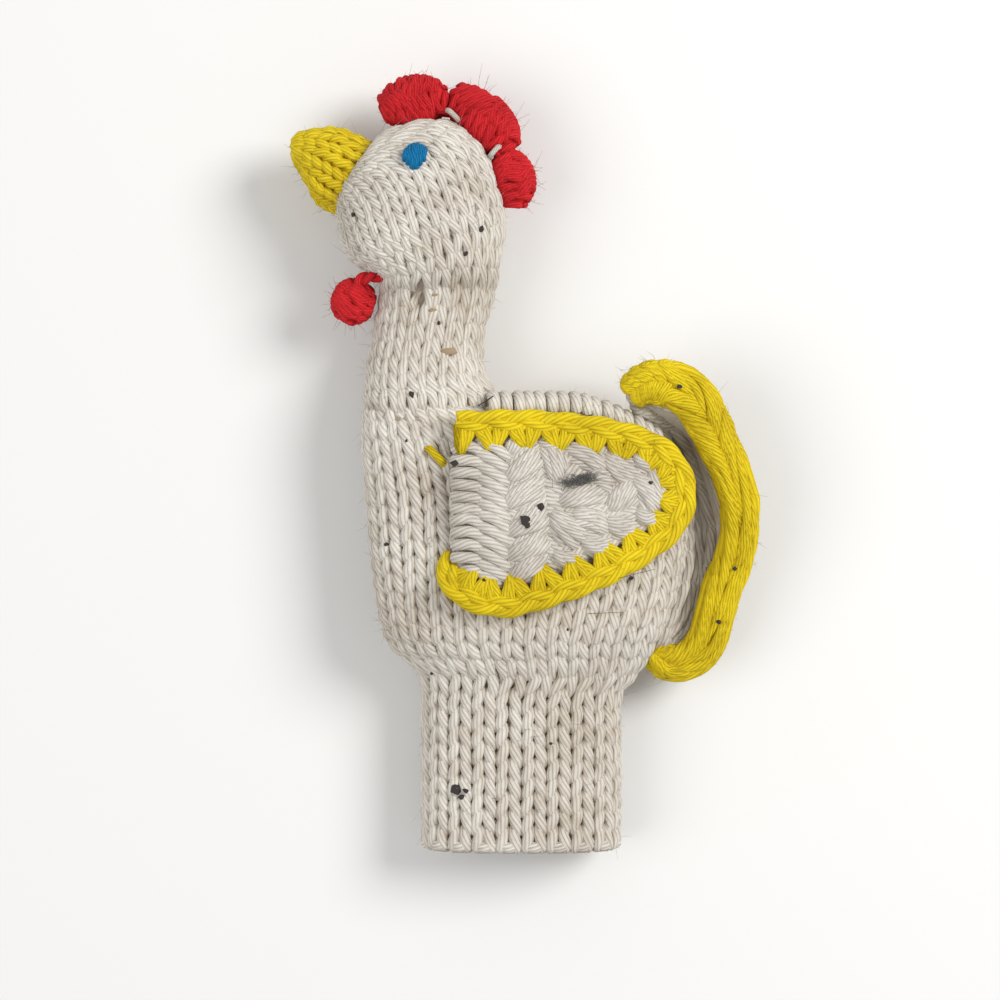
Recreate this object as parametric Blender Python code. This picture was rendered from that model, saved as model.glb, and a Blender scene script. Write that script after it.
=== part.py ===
"""A hand-knitted hen finger puppet, lying on its side as it comes to rest.

The body is one knitted tube, open at the cuff and closed behind the beak. The beak, comb, wattle,
wings and tail are separate pieces that are sewn on. Lengths are in metres. The puppet lies on the
floor plane Z = 0, its cuff towards -Y, its beak towards -X and its tail towards +X.
"""

import math
from collections import namedtuple

import bmesh
import bpy
import numpy as np
from mathutils import Vector
from mathutils.bvhtree import BVHTree

# Fabric
WALL = 0.0026               # thickness of the knitted wall
RIB_DEPTH = 0.0005          # how far the grooves between wales sink in
ROW_HEIGHT = 0.00225        # height of one knitted row
SEAT_GAP = 0.0003           # clearance between pieces that are sewn together

# Cuff
CUFF_WIDTH = 0.0278
CUFF_LENGTH = 0.0192
CUFF_DEPTH = 0.0136
CUFF_SINK = 0.0006          # how much of the round underside is pressed flat on the floor
CUFF_WALES = 16

# Torso
TORSO_LENGTH = 0.0405       # from the top of the cuff to the ridge of the back
TORSO_DEPTH = 0.0135
BREAST_REACH = 0.0080       # how far the breast stands out past the cuff
BACK_REACH = 0.0088         # how far the back stands out past the cuff
TORSO_WALES = 24

# Neck
NECK_WIDTH = 0.0160
NECK_LENGTH = 0.0145
NECK_DEPTH = 0.0122
NECK_LEAN = 0.0020          # how far the front of the neck leans back over its length
SHOULDER = 0.0010           # height over which the back closes in to the neck
NECK_WALES = 12

# Head
HEAD_WIDTH = 0.0235
HEAD_DEPTH = 0.0160
HEAD_REACH = 0.0113         # from the top of the neck forward to the root of the beak
HEAD_RISE = 0.0184          # from the top of the neck up to the root of the beak
HEAD_WALES = 16

# Beak
BEAK_LENGTH = 0.0100
BEAK_WIDTH = 0.0115
BEAK_DEPTH = 0.0094
BEAK_FORWARD = 0.0007       # from the end of the head's last row to the middle of the beak's root
BEAK_DROP = 0.0016

# Comb and wattle
COMB_LOBE_LENGTH = 0.0120   # of the middle lobe, which is the largest
COMB_LOBE_HEIGHT = 0.0076
COMB_LIFT = 0.0023          # how far the middle of the first lobe stands off the head
COMB_DEPTH = 0.0058
COMB_BASE_RADIUS = 0.0012
WATTLE_WIDTH = 0.0062
WATTLE_HEIGHT = 0.0068
WATTLE_DEPTH = 0.0056
WATTLE_FORWARD = 0.0034     # from the throat to the middle of the wattle
WATTLE_DROP = 0.0026
STALK_RADIUS = 0.0009
STALK_RISE = 0.0022         # how far the stalk meets the throat above the middle of the head

# Eyes
EYE_WIDTH = 0.0029
EYE_HEIGHT = 0.0033
EYE_RAISE = 0.0008          # how far the blue stitches stand out
EYE_BACK = 0.0027           # from the middle of the head back and up to the eye
EYE_ABOVE = 0.0013

# Wings
WING_LENGTH = 0.0325        # along the middle of the yellow edging
WING_HEIGHT = 0.0245
WING_THICKNESS = 0.0024
WING_FRONT = 0.0040         # from the left side of the cuff to the front of the edging's curve
WING_TOP_DROP = 0.0023      # from the ridge of the back down to the middle of the top edging
EDGING_WIDTH = 0.0030
EDGING_THICKNESS = 0.0030
EDGING_STITCH = 0.0043      # length of one crochet stitch along the edge
TOOTH_REACH = 0.0016        # how far each stitch reaches into the panel

# Tail
TAIL_FOOT = 0.0054          # from the top of the cuff up to the lowest part of the edging
TAIL_OVER = 0.0030          # how far the edging's top stands over the ridge of the back
TAIL_REACH = 0.0137         # from the ends of the edging out to its furthest point
TAIL_THICKNESS = 0.0022
TAIL_ROOT_DEPTH = 0.0030    # how far the fan runs in under the edge of the back before it is cut
TAIL_DIP = 0.0045           # how deep the cupped fan sinks between root and rim
TAIL_RIM_WIDTH = 0.0050
TAIL_RIM_THICKNESS = 0.0042
TAIL_SET = 0.0019           # from the side of the cuff to the ends of the tail's edging
TAIL_TOP_RISE = 0.0040      # how far the rim's top end stands over the middle of the torso
TAIL_END_DROP = 0.0030      # how far its bottom end lies under the middle of the torso
TAIL_STITCH = 0.0048

# Sewing yarn
YARN_RADIUS = 0.00055
STITCH_REACH = 0.0019       # how far a stitch of the comb reaches out from the head
STITCH_RISE = 0.0022        # how high it starts over the middle of the comb
YARN_END_FORWARD = 0.0035   # from the front of the wing to the loose end of yellow yarn
YARN_END_DROP = 0.0034
YARN_END_LENGTH = 0.0025

SHARP_ANGLE = math.radians(35)
COLUMNS = 48                # points round the knitted tube
SAMPLES = 192               # points used to measure round a cross-section
ROUNDNESS = 2.4             # exponent of the cross-sections: 2 is an ellipse, more is squarer

WING_LIFT = EDGING_THICKNESS + SEAT_GAP      # the torso lies on the lower wing
HEAD_LIFT = EYE_RAISE + 2 * SEAT_GAP         # the head lies on the lower eye

Station = namedtuple("Station", "x y tilt half_width low high back_share")


def smooth(values, t):
    """A curve through evenly spaced values that never overshoots them."""
    last = len(values) - 1
    i = min(max(int(t), 0), last - 1)
    f = t - i

    def slope(k):
        if k <= 0 or k >= last:
            return 0.0
        before = values[k] - values[k - 1]
        after = values[k + 1] - values[k]
        return 0.0 if before * after <= 0 else 2 * before * after / (before + after)

    rise = values[i + 1] - values[i]
    a, b = slope(i), slope(i + 1)
    return values[i] + f * (a + f * (3 * rise - 2 * a - b + f * (a + b - 2 * rise)))


# Outline of the knitted tube

def flat_station(height, left, right, low, high, back_share=1.0):
    """A cross-section that runs straight across the puppet."""
    return Station((left + right) / 2, height, 0.0, (right - left) / 2, low, high, back_share)


# Share of the torso's length, of the breast's reach, of the back's reach, of the lift and depth,
# and how thick the back edge is beside the front edge
TORSO_OUTLINE = (
    (0.00, 0.00, 0.00, 0.00, 1.0),
    (0.09, 0.05, 0.25, 0.15, 1.0),
    (0.15, 0.34, 0.43, 0.45, 1.0),
    (0.20, 0.54, 0.53, 0.75, 1.0),
    (0.28, 0.68, 0.70, 1.00, 1.0),
    (0.40, 0.78, 0.89, 1.00, 1.0),
    (0.53, 0.86, 1.00, 1.00, 1.0),
    (0.67, 0.92, 1.00, 1.00, 1.0),
    (0.80, 0.97, 0.80, 1.00, 0.9),
    (0.90, 1.00, 0.52, 1.00, 0.7),
    (0.96, 0.99, 0.26, 1.00, 0.5),
    (0.99, 0.97, -0.08, 1.00, 0.4),
)
# Share of the neck's length, width, lean, and of the way from torso height to neck height
NECK_OUTLINE = (
    (0.00, 1.28, 0.00, 0.20, 0.7),
    (0.14, 1.10, 0.10, 0.45, 0.9),
    (0.35, 1.03, 0.20, 0.75, 1.0),
    (0.67, 0.98, 0.62, 1.00, 1.0),
    (1.00, 1.01, 1.00, 1.00, 1.0),
)
# Share of the head's forward reach, rise and width, tilt in degrees, and share of its depth
HEAD_OUTLINE = (
    (-0.05, 0.17, 0.71, 6.5, 0.84),
    (-0.01, 0.33, 0.84, 16.0, 0.93),
    (0.10, 0.49, 0.96, 21.0, 0.99),
    (0.20, 0.66, 1.00, 26.0, 1.00),
    (0.32, 0.83, 0.97, 32.0, 1.00),
    (0.52, 0.96, 0.87, 40.0, 0.94),
    (0.74, 1.00, 0.68, 46.5, 0.82),
    (0.88, 1.00, 0.50, 53.0, 0.66),
    (0.94, 0.98, 0.34, 57.0, 0.48),
)


def knitted_stations():
    """Cross-sections of the tube from the cuff's mouth to the root of the beak."""
    left, right = -CUFF_WIDTH / 2, CUFF_WIDTH / 2
    cuff_top = CUFF_DEPTH - CUFF_SINK
    torso_top = WING_LIFT + TORSO_DEPTH
    stations = [flat_station(CUFF_LENGTH * share, left, right, -CUFF_SINK, cuff_top)
                for share in (0.0, 0.5)]
    for along, breast, back, lift, share in TORSO_OUTLINE:
        stations.append(flat_station(
            CUFF_LENGTH + TORSO_LENGTH * along,
            left - BREAST_REACH * breast,
            right + BACK_REACH * back,
            -CUFF_SINK + (WING_LIFT + CUFF_SINK) * lift,
            cuff_top + (torso_top - cuff_top) * lift,
            share))
    neck_bottom = CUFF_LENGTH + TORSO_LENGTH
    neck_left = left - BREAST_REACH * 0.97
    for along, width, lean, settle, share in NECK_OUTLINE:
        edge = neck_left + NECK_LEAN * lean
        low = WING_LIFT + (HEAD_LIFT - WING_LIFT) * settle
        high = torso_top + (HEAD_LIFT + NECK_DEPTH - torso_top) * settle
        stations.append(flat_station(
            neck_bottom + SHOULDER + (NECK_LENGTH - SHOULDER) * along,
            edge, edge + NECK_WIDTH * width, low, high, share))
    top = stations[-1]
    middle = HEAD_LIFT + HEAD_DEPTH / 2
    for forward, rise, width, tilt, depth in HEAD_OUTLINE:
        half_depth = HEAD_DEPTH * depth / 2
        stations.append(Station(
            top.x - HEAD_REACH * forward, top.y + HEAD_RISE * rise, math.radians(tilt),
            HEAD_WIDTH * width / 2, middle - half_depth, middle + half_depth, 1.0))
    return stations


STATIONS = knitted_stations()
FIRST_NECK = 2 + len(TORSO_OUTLINE)
FIRST_HEAD = FIRST_NECK + len(NECK_OUTLINE)
LAST = len(STATIONS) - 1


def station_at(t, stations=STATIONS):
    """The cross-section at a place between the stations; whole numbers are the stations."""
    return Station(*(smooth([s[k] for s in stations], t) for k in range(len(Station._fields))))


def cross_section(station, grow, count):
    """Points evenly spaced round a cross-section, from its left edge over the top."""
    angle = np.linspace(math.pi, -math.pi, SAMPLES + 1)
    cosine, sine = np.cos(angle), np.sin(angle)
    half_width = max(station.half_width + grow, 0.0001)
    half_depth = max((station.high - station.low) / 2 + grow, 0.0001)
    across = np.sign(cosine) * np.abs(cosine) ** (2 / ROUNDNESS)
    taper = 1 + (station.back_share - 1) * (across + 1) / 2
    z = np.sign(sine) * np.abs(sine) ** (2 / ROUNDNESS) * half_depth * taper
    x = across * half_width
    length = np.concatenate([[0.0], np.cumsum(np.hypot(np.diff(x), np.diff(z)))])
    wanted = length[-1] * np.arange(count) / count
    x, z = np.interp(wanted, length, x), np.interp(wanted, length, z)
    z += (station.low + station.high) / 2
    return np.stack([station.x + x * math.cos(station.tilt),
                     station.y + x * math.sin(station.tilt),
                     np.maximum(z, -grow if grow > 0 else 0.0)], axis=1)


def ring_places(first, last, spacing):
    """Places along the tube between two stations, one about every spacing."""
    fine = np.linspace(first, last, 400)
    found = [station_at(t) for t in fine]
    step = [0.0]
    for before, after in zip(found, found[1:]):
        flat = before.tilt == 0 and after.tilt == 0
        step.append(after.y - before.y if flat
                    else math.hypot(after.x - before.x, after.y - before.y))
    travel = np.cumsum(step)
    count = max(2, round(travel[-1] / spacing))
    return list(np.interp(np.linspace(0, travel[-1], count + 1), travel, fine))


def row_places():
    """A place for every knitted row. The rows are closer where the head turns."""
    return (ring_places(0, FIRST_HEAD, ROW_HEIGHT)
            + ring_places(FIRST_HEAD, LAST, 0.85 * ROW_HEIGHT)[1:])


WALE_CHANGES = (3.0, FIRST_NECK - 0.5, FIRST_HEAD + 0.5)


def wales_at(t):
    """How many columns of stitches run round the tube there."""
    counts = (CUFF_WALES, TORSO_WALES, NECK_WALES, HEAD_WALES)
    return counts[sum(t > change for change in WALE_CHANGES)]


# Blender helpers

def clear_scene():
    for obj in list(bpy.data.objects):
        bpy.data.objects.remove(obj)


def new_collection(name):
    made = bpy.data.collections.new(name)
    bpy.context.scene.collection.children.link(made)
    return made


def new_material(name, colour, roughness):
    made = bpy.data.materials.new(name)
    made.use_nodes = True
    shader = made.node_tree.nodes["Principled BSDF"]
    shader.inputs["Base Color"].default_value = (*colour, 1.0)
    shader.inputs["Roughness"].default_value = roughness
    shader.inputs["Metallic"].default_value = 0.0
    return made


def place(name, data, collection, material=None):
    obj = bpy.data.objects.new(name, data)
    collection.objects.link(obj)
    if material is not None:
        data.materials.append(material)
    return obj


def mesh_from(bm, name):
    bmesh.ops.remove_doubles(bm, verts=bm.verts, dist=1e-6)
    bmesh.ops.recalc_face_normals(bm, faces=bm.faces)
    mesh = bpy.data.meshes.new(name)
    bm.to_mesh(mesh)
    bm.free()
    mesh.shade_smooth()
    mesh.set_sharp_from_angle(angle=SHARP_ANGLE)
    return mesh


def wrapped_mesh(name, rings):
    """A closed skin over a stack of rings, each an equal number of points. The ends are closed."""
    columns, rows = len(rings[0]), len(rings) + 1
    ends = [np.repeat(rings[k].mean(axis=0)[None], columns, axis=0) for k in (0, -1)]
    points = [ends[0], *rings, ends[1]]
    bm = bmesh.new()
    bmesh.ops.create_grid(bm, x_segments=columns, y_segments=rows, size=0.5)
    for vert in bm.verts:
        column = round((vert.co.x + 0.5) * columns) % columns
        row = round((vert.co.y + 0.5) * rows)
        vert.co = points[row][column]
    return mesh_from(bm, name)


def solid_mesh(obj):
    """The mesh of an object with its modifiers applied."""
    bpy.context.view_layer.update()
    graph = bpy.context.evaluated_depsgraph_get()
    mesh = bpy.data.meshes.new_from_object(obj.evaluated_get(graph))
    bm = bmesh.new()
    bm.from_mesh(mesh)
    bpy.data.meshes.remove(mesh)
    return mesh_from(bm, obj.name)


def tube(name, path, radius, collection, material):
    """A round length of yarn: a bevelled curve, made a mesh so that it can be cut."""
    curve = bpy.data.curves.new(name, "CURVE")
    curve.dimensions = "3D"
    curve.bevel_depth = radius
    curve.bevel_resolution = 2
    curve.use_fill_caps = True
    spline = curve.splines.new("POLY")
    spline.points.add(len(path) - 1)
    for point, co in zip(spline.points, path):
        point.co = (*co, 1.0)
    drawn = place(name + "_curve", curve, collection)
    mesh = solid_mesh(drawn)
    bpy.data.objects.remove(drawn)
    return place(name, mesh, collection, material)


def cord(name, path, half_widths, collection, material, half_heights=None, shifts=None, sides=8):
    """A cord along a path: an oval at each point, which can be shifted to one side of the path."""
    path = np.array(path)
    half_heights = half_widths if half_heights is None else half_heights
    shifts = [0.0] * len(path) if shifts is None else shifts
    turn = np.arange(sides) * 2 * math.pi / sides
    rings = []
    for k, point in enumerate(path):
        tangent = Vector(path[min(k + 1, len(path) - 1)] - path[max(k - 1, 0)]).normalized()
        side = tangent.cross(Vector((0, 0, 1))).normalized()
        up = side.cross(tangent)
        rings.append(point + np.outer(np.cos(turn) * half_widths[k] + shifts[k], side)
                     + np.outer(np.sin(turn) * half_heights[k], up))
    return place(name, wrapped_mesh(name, rings), collection, material)


def apply_boolean(obj, other, operation):
    modifier = obj.modifiers.new(operation.lower(), "BOOLEAN")
    modifier.operation = operation
    modifier.object = other
    modifier.solver = "EXACT"
    mesh = solid_mesh(obj)
    obj.modifiers.clear()
    old, obj.data = obj.data, mesh
    if old.materials and not mesh.materials:
        mesh.materials.append(old.materials[0])
    bpy.data.meshes.remove(old)


def cutter(obj):
    obj.hide_render = True
    obj.display_type = "WIRE"
    return obj


def through(points, count):
    """Points along a smooth curve through a few points, about evenly spaced."""
    fine = np.linspace(0, len(points) - 1, 40 * len(points))
    rows = [list(column) for column in zip(*points)]
    curve = np.array([[smooth(row, t) for row in rows] for t in fine])
    step = np.linalg.norm(np.diff(curve[:, :3], axis=0), axis=1)
    travel = np.concatenate([[0.0], np.cumsum(step)])
    wanted = np.linspace(0, travel[-1], count)
    return np.stack([np.interp(wanted, travel, curve[:, k]) for k in range(curve.shape[1])], axis=1)


def length_of(points):
    return float(np.linalg.norm(np.diff(np.array(points)[:, :3], axis=0), axis=1).sum())


# The knitted body

def ribbed_ring(t):
    """The outer face of the fabric at a place along the tube, with its wales as ridges."""
    station = station_at(t)
    crest = cross_section(station, 0.0, COLUMNS)
    groove = cross_section(station, -RIB_DEPTH, COLUMNS)
    turn = np.arange(COLUMNS) * wales_at(t) / COLUMNS
    nearest = min(abs(t - change) for change in WALE_CHANGES)
    fade = min(nearest / 1.2, 1.0)
    depth = (fade * (1 - np.cos(2 * math.pi * turn)) / 2)[:, None]
    return crest * (1 - depth) + groove * depth


def cavity_stations():
    """Cross-sections of the inner face, which keeps a wall's thickness from the outer face."""
    flat = [station_at(t) for t in np.linspace(0, FIRST_HEAD - 1, 300)]
    heights = [s.y for s in flat]
    lefts = [s.x - s.half_width for s in flat]
    rights = [s.x + s.half_width for s in flat]
    made = []
    for t in ring_places(0, FIRST_HEAD - 1, 2 * ROW_HEIGHT):
        s = station_at(t)
        left = np.interp(s.y, heights, lefts) + WALL
        ahead = np.interp(s.y + 1.3 * WALL, heights, rights)
        right = min(np.interp(s.y, heights, rights), ahead) - WALL
        made.append(flat_station(s.y, left, right, s.low + WALL, s.high - WALL))
    for t in range(FIRST_HEAD, LAST - 1):
        s = station_at(t)
        made.append(Station(s.x, s.y, s.tilt, s.half_width - WALL,
                            s.low + WALL, s.high - WALL, 1.0))
    return made


def make_body(collection, material):
    inner = [cross_section(s, 0.0, COLUMNS) for s in cavity_stations()]
    outer = [ribbed_ring(t) for t in row_places()]
    mesh = wrapped_mesh("body", inner[::-1] + outer)
    return place("body", mesh, collection, material)


def make_envelope(name, grow, collection):
    """The body's outer face without its ribs, grown a little: what the sewn-on pieces sit on."""
    rings = [cross_section(station_at(t), grow, COLUMNS) for t in row_places()]
    rings[0] = rings[0] - np.array([0, grow, 0])
    return cutter(place(name, wrapped_mesh(name, rings), collection))


def make_stuffing(collection, material):
    """The wad of fibre that keeps the head round."""
    rings = []
    for t in np.linspace(FIRST_HEAD + 0.3, LAST - 2.3, 8):
        rings.append(cross_section(station_at(t), -WALL - 2 * SEAT_GAP, 16))
    return place("head_stuffing", wrapped_mesh("head_stuffing", rings), collection, material)


# Pieces sewn to the head

# Share of the beak's length, of its width, tilt in degrees, and share of its depth
BEAK_OUTLINE = (
    (-0.30, 0.80, 58.0, 0.80),
    (0.00, 1.00, 61.0, 1.00),
    (0.33, 0.98, 70.0, 0.96),
    (0.64, 0.70, 78.0, 0.74),
    (0.86, 0.42, 83.0, 0.46),
    (0.97, 0.17, 84.0, 0.20),
)
BEAK_DIRECTION = math.radians(153.0)


def make_beak(seat, collection, material):
    root = STATIONS[LAST]
    middle = HEAD_LIFT + HEAD_DEPTH / 2
    stations = []
    for along, width, tilt, depth in BEAK_OUTLINE:
        stations.append(Station(
            root.x + BEAK_LENGTH * along * math.cos(BEAK_DIRECTION) - BEAK_FORWARD,
            root.y + BEAK_LENGTH * along * math.sin(BEAK_DIRECTION) - BEAK_DROP,
            math.radians(tilt), BEAK_WIDTH * width / 2,
            middle - BEAK_DEPTH * depth / 2, middle + BEAK_DEPTH * depth / 2, 1.0))
    rings = [cross_section(station_at(t, stations), 0.0, 16)
             for t in np.linspace(0, len(stations) - 1, 10)]
    beak = place("beak", wrapped_mesh("beak", rings), collection, material)
    apply_boolean(beak, seat, "DIFFERENCE")
    return beak


def crown(t):
    """A point on the back edge of the head, and the directions along and away from it."""
    def edge(u):
        s = station_at(u)
        return Vector((s.x + s.half_width * math.cos(s.tilt),
                       s.y + s.half_width * math.sin(s.tilt), 0))
    along = (edge(t + 0.05) - edge(t - 0.05)).normalized()
    return edge(t), along, Vector((along.y, -along.x, 0))


# Place along the crown, and the lobe's share of the length, of the height and of the lift
COMB_LOBES = (
    (FIRST_HEAD + 6.00, 0.75, 1.00, 1.00),
    (FIRST_HEAD + 4.25, 1.00, 1.00, 0.87),
    (FIRST_HEAD + 2.55, 0.73, 0.87, 0.57),
)


def ellipsoid(name, centre, along, away, half_sizes, collection, material, segments=14, rings=9):
    bm = bmesh.new()
    bmesh.ops.create_uvsphere(bm, u_segments=segments, v_segments=rings, radius=1.0)
    up = Vector((0, 0, 1))
    for vert in bm.verts:
        x, z, y = vert.co
        vert.co = (centre + along * (x * half_sizes[0]) + away * (y * half_sizes[1])
                   + up * (z * half_sizes[2]))
    return place(name, mesh_from(bm, name), collection, material)


def make_comb(seat, collection, material):
    """Three crocheted lobes on a base chain, with a groove where each sewing stitch passes."""
    middle = Vector((0, 0, HEAD_LIFT + HEAD_DEPTH / 2))
    lobes = []
    for k, (t, length, height, lift) in enumerate(COMB_LOBES):
        point, along, away = crown(t)
        half_sizes = (COMB_LOBE_LENGTH / 2 * length, COMB_LOBE_HEIGHT / 2 * height, COMB_DEPTH / 2)
        lobes.append(ellipsoid(f"lobe_{k}", point + away * (COMB_LIFT * lift) + middle, along, away,
                               half_sizes, collection, material))
    base = []
    for t in np.linspace(COMB_LOBES[0][0] + 0.2, COMB_LOBES[-1][0] - 0.3, 12):
        point, along, away = crown(t)
        base.append(point + away * COMB_BASE_RADIUS * 0.8 + middle)
    comb = tube("comb", base, COMB_BASE_RADIUS, collection, material)
    for lobe in lobes:
        apply_boolean(comb, lobe, "UNION")
        bpy.data.objects.remove(lobe)
    apply_boolean(comb, seat, "DIFFERENCE")
    return comb


def stitch_path(k):
    """Where a cream sewing stitch crosses the comb between two lobes, seen on the left side."""
    point, along, away = crown((COMB_LOBES[k][0] + COMB_LOBES[k + 1][0]) / 2)
    high = HEAD_LIFT + HEAD_DEPTH / 2
    path = []
    for share in np.linspace(-0.15, 1.0, 7):
        rise = YARN_RADIUS + STITCH_RISE * math.sin(math.pi * (0.5 + 0.5 * share))
        path.append(point + away * (STITCH_REACH * share) + along * (YARN_RADIUS * (1 - 2 * share))
                    + Vector((0, 0, high + rise)))
    return path


def make_comb_stitches(comb, seat, collection, material, helpers):
    for k in range(len(COMB_LOBES) - 1):
        path = stitch_path(k)
        groove = cutter(tube(f"stitch_groove_{k + 1}", path, YARN_RADIUS + SEAT_GAP, helpers, None))
        apply_boolean(comb, groove, "DIFFERENCE")
        stitch = tube(f"comb_stitch_{k + 1}", path[:-1], YARN_RADIUS, collection, material)
        apply_boolean(stitch, seat, "DIFFERENCE")


def make_wattle(seat, collection, material):
    """A crocheted bobble that hangs from a short stalk in the crease of the throat."""
    s = STATIONS[FIRST_HEAD]
    throat = Vector((s.x - s.half_width * math.cos(s.tilt), s.y - s.half_width * math.sin(s.tilt), 0))
    middle = HEAD_LIFT + HEAD_DEPTH / 2
    centre = throat + Vector((-WATTLE_FORWARD, -WATTLE_DROP, middle))
    wattle = ellipsoid("wattle", centre, Vector((1, 0, 0)), Vector((0, 1, 0)),
                       (WATTLE_WIDTH / 2, WATTLE_HEIGHT / 2, WATTLE_DEPTH / 2),
                       collection, material)
    path = through([centre + Vector((0.0, WATTLE_HEIGHT * 0.25, WATTLE_DEPTH * 0.2)),
                    centre + Vector((WATTLE_WIDTH * 0.26, WATTLE_HEIGHT * 0.45, WATTLE_DEPTH * 0.35)),
                    throat + Vector((0, STALK_RADIUS, middle + STALK_RISE))], 6)
    stalk = tube("stalk", path, STALK_RADIUS, collection, material)
    apply_boolean(wattle, stalk, "UNION")
    bpy.data.objects.remove(stalk)
    apply_boolean(wattle, seat, "DIFFERENCE")
    return wattle


def seat_height(tree, x, y, above):
    """The height of the body's face over or under a point, or None beside the body."""
    start = Vector((x, y, 2 * HEAD_DEPTH if above else -HEAD_DEPTH))
    hit = tree.ray_cast(start, Vector((0, 0, -1 if above else 1)))[0]
    return None if hit is None else hit.z


def make_eyes(seat, tree, collection, material):
    s = STATIONS[FIRST_HEAD + 5]
    x, y = s.x + EYE_BACK, s.y + EYE_ABOVE
    along = Vector((math.cos(-0.9), math.sin(-0.9), 0))
    away = Vector((-along.y, along.x, 0))
    for name, above in (("eye_left", True), ("eye_right", False)):
        z = seat_height(tree, x, y, above)
        eye = ellipsoid(name, Vector((x, y, z)), along, away,
                        (EYE_HEIGHT / 2, EYE_WIDTH / 2, EYE_RAISE), collection, material, 12, 8)
        apply_boolean(eye, seat, "DIFFERENCE")


# Wings

# The middle of the yellow edging, as shares of the wing's length and height, from the front end of
# the top edge round the tip to the front end of the bottom edge
WING_PATH = (
    (0.010, 0.990), (0.300, 1.000), (0.620, 0.966), (0.860, 0.880), (0.965, 0.760), (1.000, 0.600),
    (0.965, 0.450), (0.860, 0.320), (0.590, 0.130), (0.240, 0.000), (0.100, 0.035),
    (0.025, 0.110), (0.000, 0.190),
)
PANEL_COLUMNS, PANEL_ROWS = 12, 4


def wing_outline(count):
    """Points along the middle of the wing's edging, in the plane of the puppet."""
    left = -CUFF_WIDTH / 2 + WING_FRONT
    top = CUFF_LENGTH + TORSO_LENGTH - WING_TOP_DROP
    points = [(left + WING_LENGTH * x, top - WING_HEIGHT * (1 - y)) for x, y in WING_PATH]
    return through(points, count)


def torso_height(x, y):
    """How high the torso's upper face stands there. Past its edge the wing stays level."""
    flat = STATIONS[:FIRST_NECK]
    t = np.interp(y, [s.y for s in flat], range(len(flat)))
    s = station_at(t)
    across = min(max((x - s.x) / s.half_width, -0.80), 0.80)
    taper = 1 + (s.back_share - 1) * (across + 1) / 2
    bulge = (1 - abs(across) ** ROUNDNESS) ** (1 / ROUNDNESS)
    return (s.low + s.high) / 2 + (s.high - s.low) / 2 * taper * bulge


def highest_near(x, y, reach):
    return max(torso_height(x + dx, y + dy) for dx in (-reach, 0, reach) for dy in (-reach, 0, reach))


def edging_cord(name, upper, grow, collection, material):
    """A row of crochet stitches round the wing, from front end to front end."""
    stitches = round(length_of(wing_outline(60)) / EDGING_STITCH)
    outline = wing_outline(4 * stitches + 1)
    path, widths, heights, shifts = [], [], [], []
    for k, (x, y) in enumerate(outline):
        tooth = (0.0, 0.45, 1.0, 0.45)[k % 4] * TOOTH_REACH
        swell = (0.90, 0.97, 1.0, 0.97)[k % 4]
        under = highest_near(x, y, EDGING_WIDTH * 0.35) + SEAT_GAP if upper else 0.0
        path.append((x, y, under + EDGING_THICKNESS / 2))
        widths.append((EDGING_WIDTH * swell + tooth) / 2 + grow)
        heights.append(EDGING_THICKNESS * swell / 2 + 8 * grow)
        shifts.append(tooth / 2)
    return cord(name, path, widths, collection, material, heights, shifts)


def crocheted_panel(name, columns, rows, underside, thickness, collection, material):
    """A panel over a surface formula, its thickness upwards, with every other column as a ridge."""
    bm = bmesh.new()
    bmesh.ops.create_grid(bm, x_segments=columns, y_segments=rows, size=0.5)
    places = {vert: (vert.co.x + 0.5, vert.co.y + 0.5) for vert in bm.verts}
    raised = bmesh.ops.extrude_face_region(bm, geom=list(bm.faces))["geom"]
    for vert in (v for v in raised if isinstance(v, bmesh.types.BMVert)):
        across, up = vert.co.x + 0.5, vert.co.y + 0.5
        depth = thickness * (1.0 if round(across * columns) % 2 == 0 else 0.84)
        vert.co = Vector(underside(across, up)) + Vector((0, 0, depth))
    for vert, (across, up) in places.items():
        vert.co = underside(across, up)
    return place(name, mesh_from(bm, name), collection, material)


def make_wing_panel(name, upper, collection, material, helpers):
    """The cream panel of a wing. It fills the inside of the yellow edging."""
    outline = wing_outline(120)
    tip = int(np.argmax(outline[:, 0]))
    front, back = outline[0][0] + SEAT_GAP, outline[tip][0] - EDGING_WIDTH / 4
    top_edge = outline[:tip + 1]
    bottom_edge = outline[tip:][::-1]
    bottom_edge = bottom_edge[int(np.argmin(bottom_edge[:, 0])):]

    def underside(across, up):
        x = front + (back - front) * across
        top = np.interp(x, top_edge[:, 0], top_edge[:, 1])
        bottom = np.interp(x, bottom_edge[:, 0], bottom_edge[:, 1])
        y = bottom + (top - bottom) * up
        return x, y, torso_height(x, y) + SEAT_GAP if upper else EDGING_THICKNESS - WING_THICKNESS

    panel = crocheted_panel(name, PANEL_COLUMNS, PANEL_ROWS, underside, WING_THICKNESS,
                            collection, material)
    edge = cutter(edging_cord(name + "_seat", upper, SEAT_GAP, helpers, None))
    apply_boolean(panel, edge, "DIFFERENCE")
    return panel


def make_wing_stitch(tree, seat, collection, material):
    """The end of the yellow yarn, which shows between two wales in front of the wing."""
    x0, y0 = wing_outline(3)[0]
    path = []
    for share in np.linspace(0, 1, 5):
        x = x0 - YARN_END_FORWARD + YARN_END_LENGTH * 0.7 * share
        y = y0 - YARN_END_DROP - YARN_END_LENGTH * 0.7 * share
        path.append((x, y, seat_height(tree, x, y, True)))
    stitch = tube("wing_yarn_end", path, YARN_RADIUS, collection, material)
    apply_boolean(stitch, seat, "DIFFERENCE")


# Tail

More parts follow.
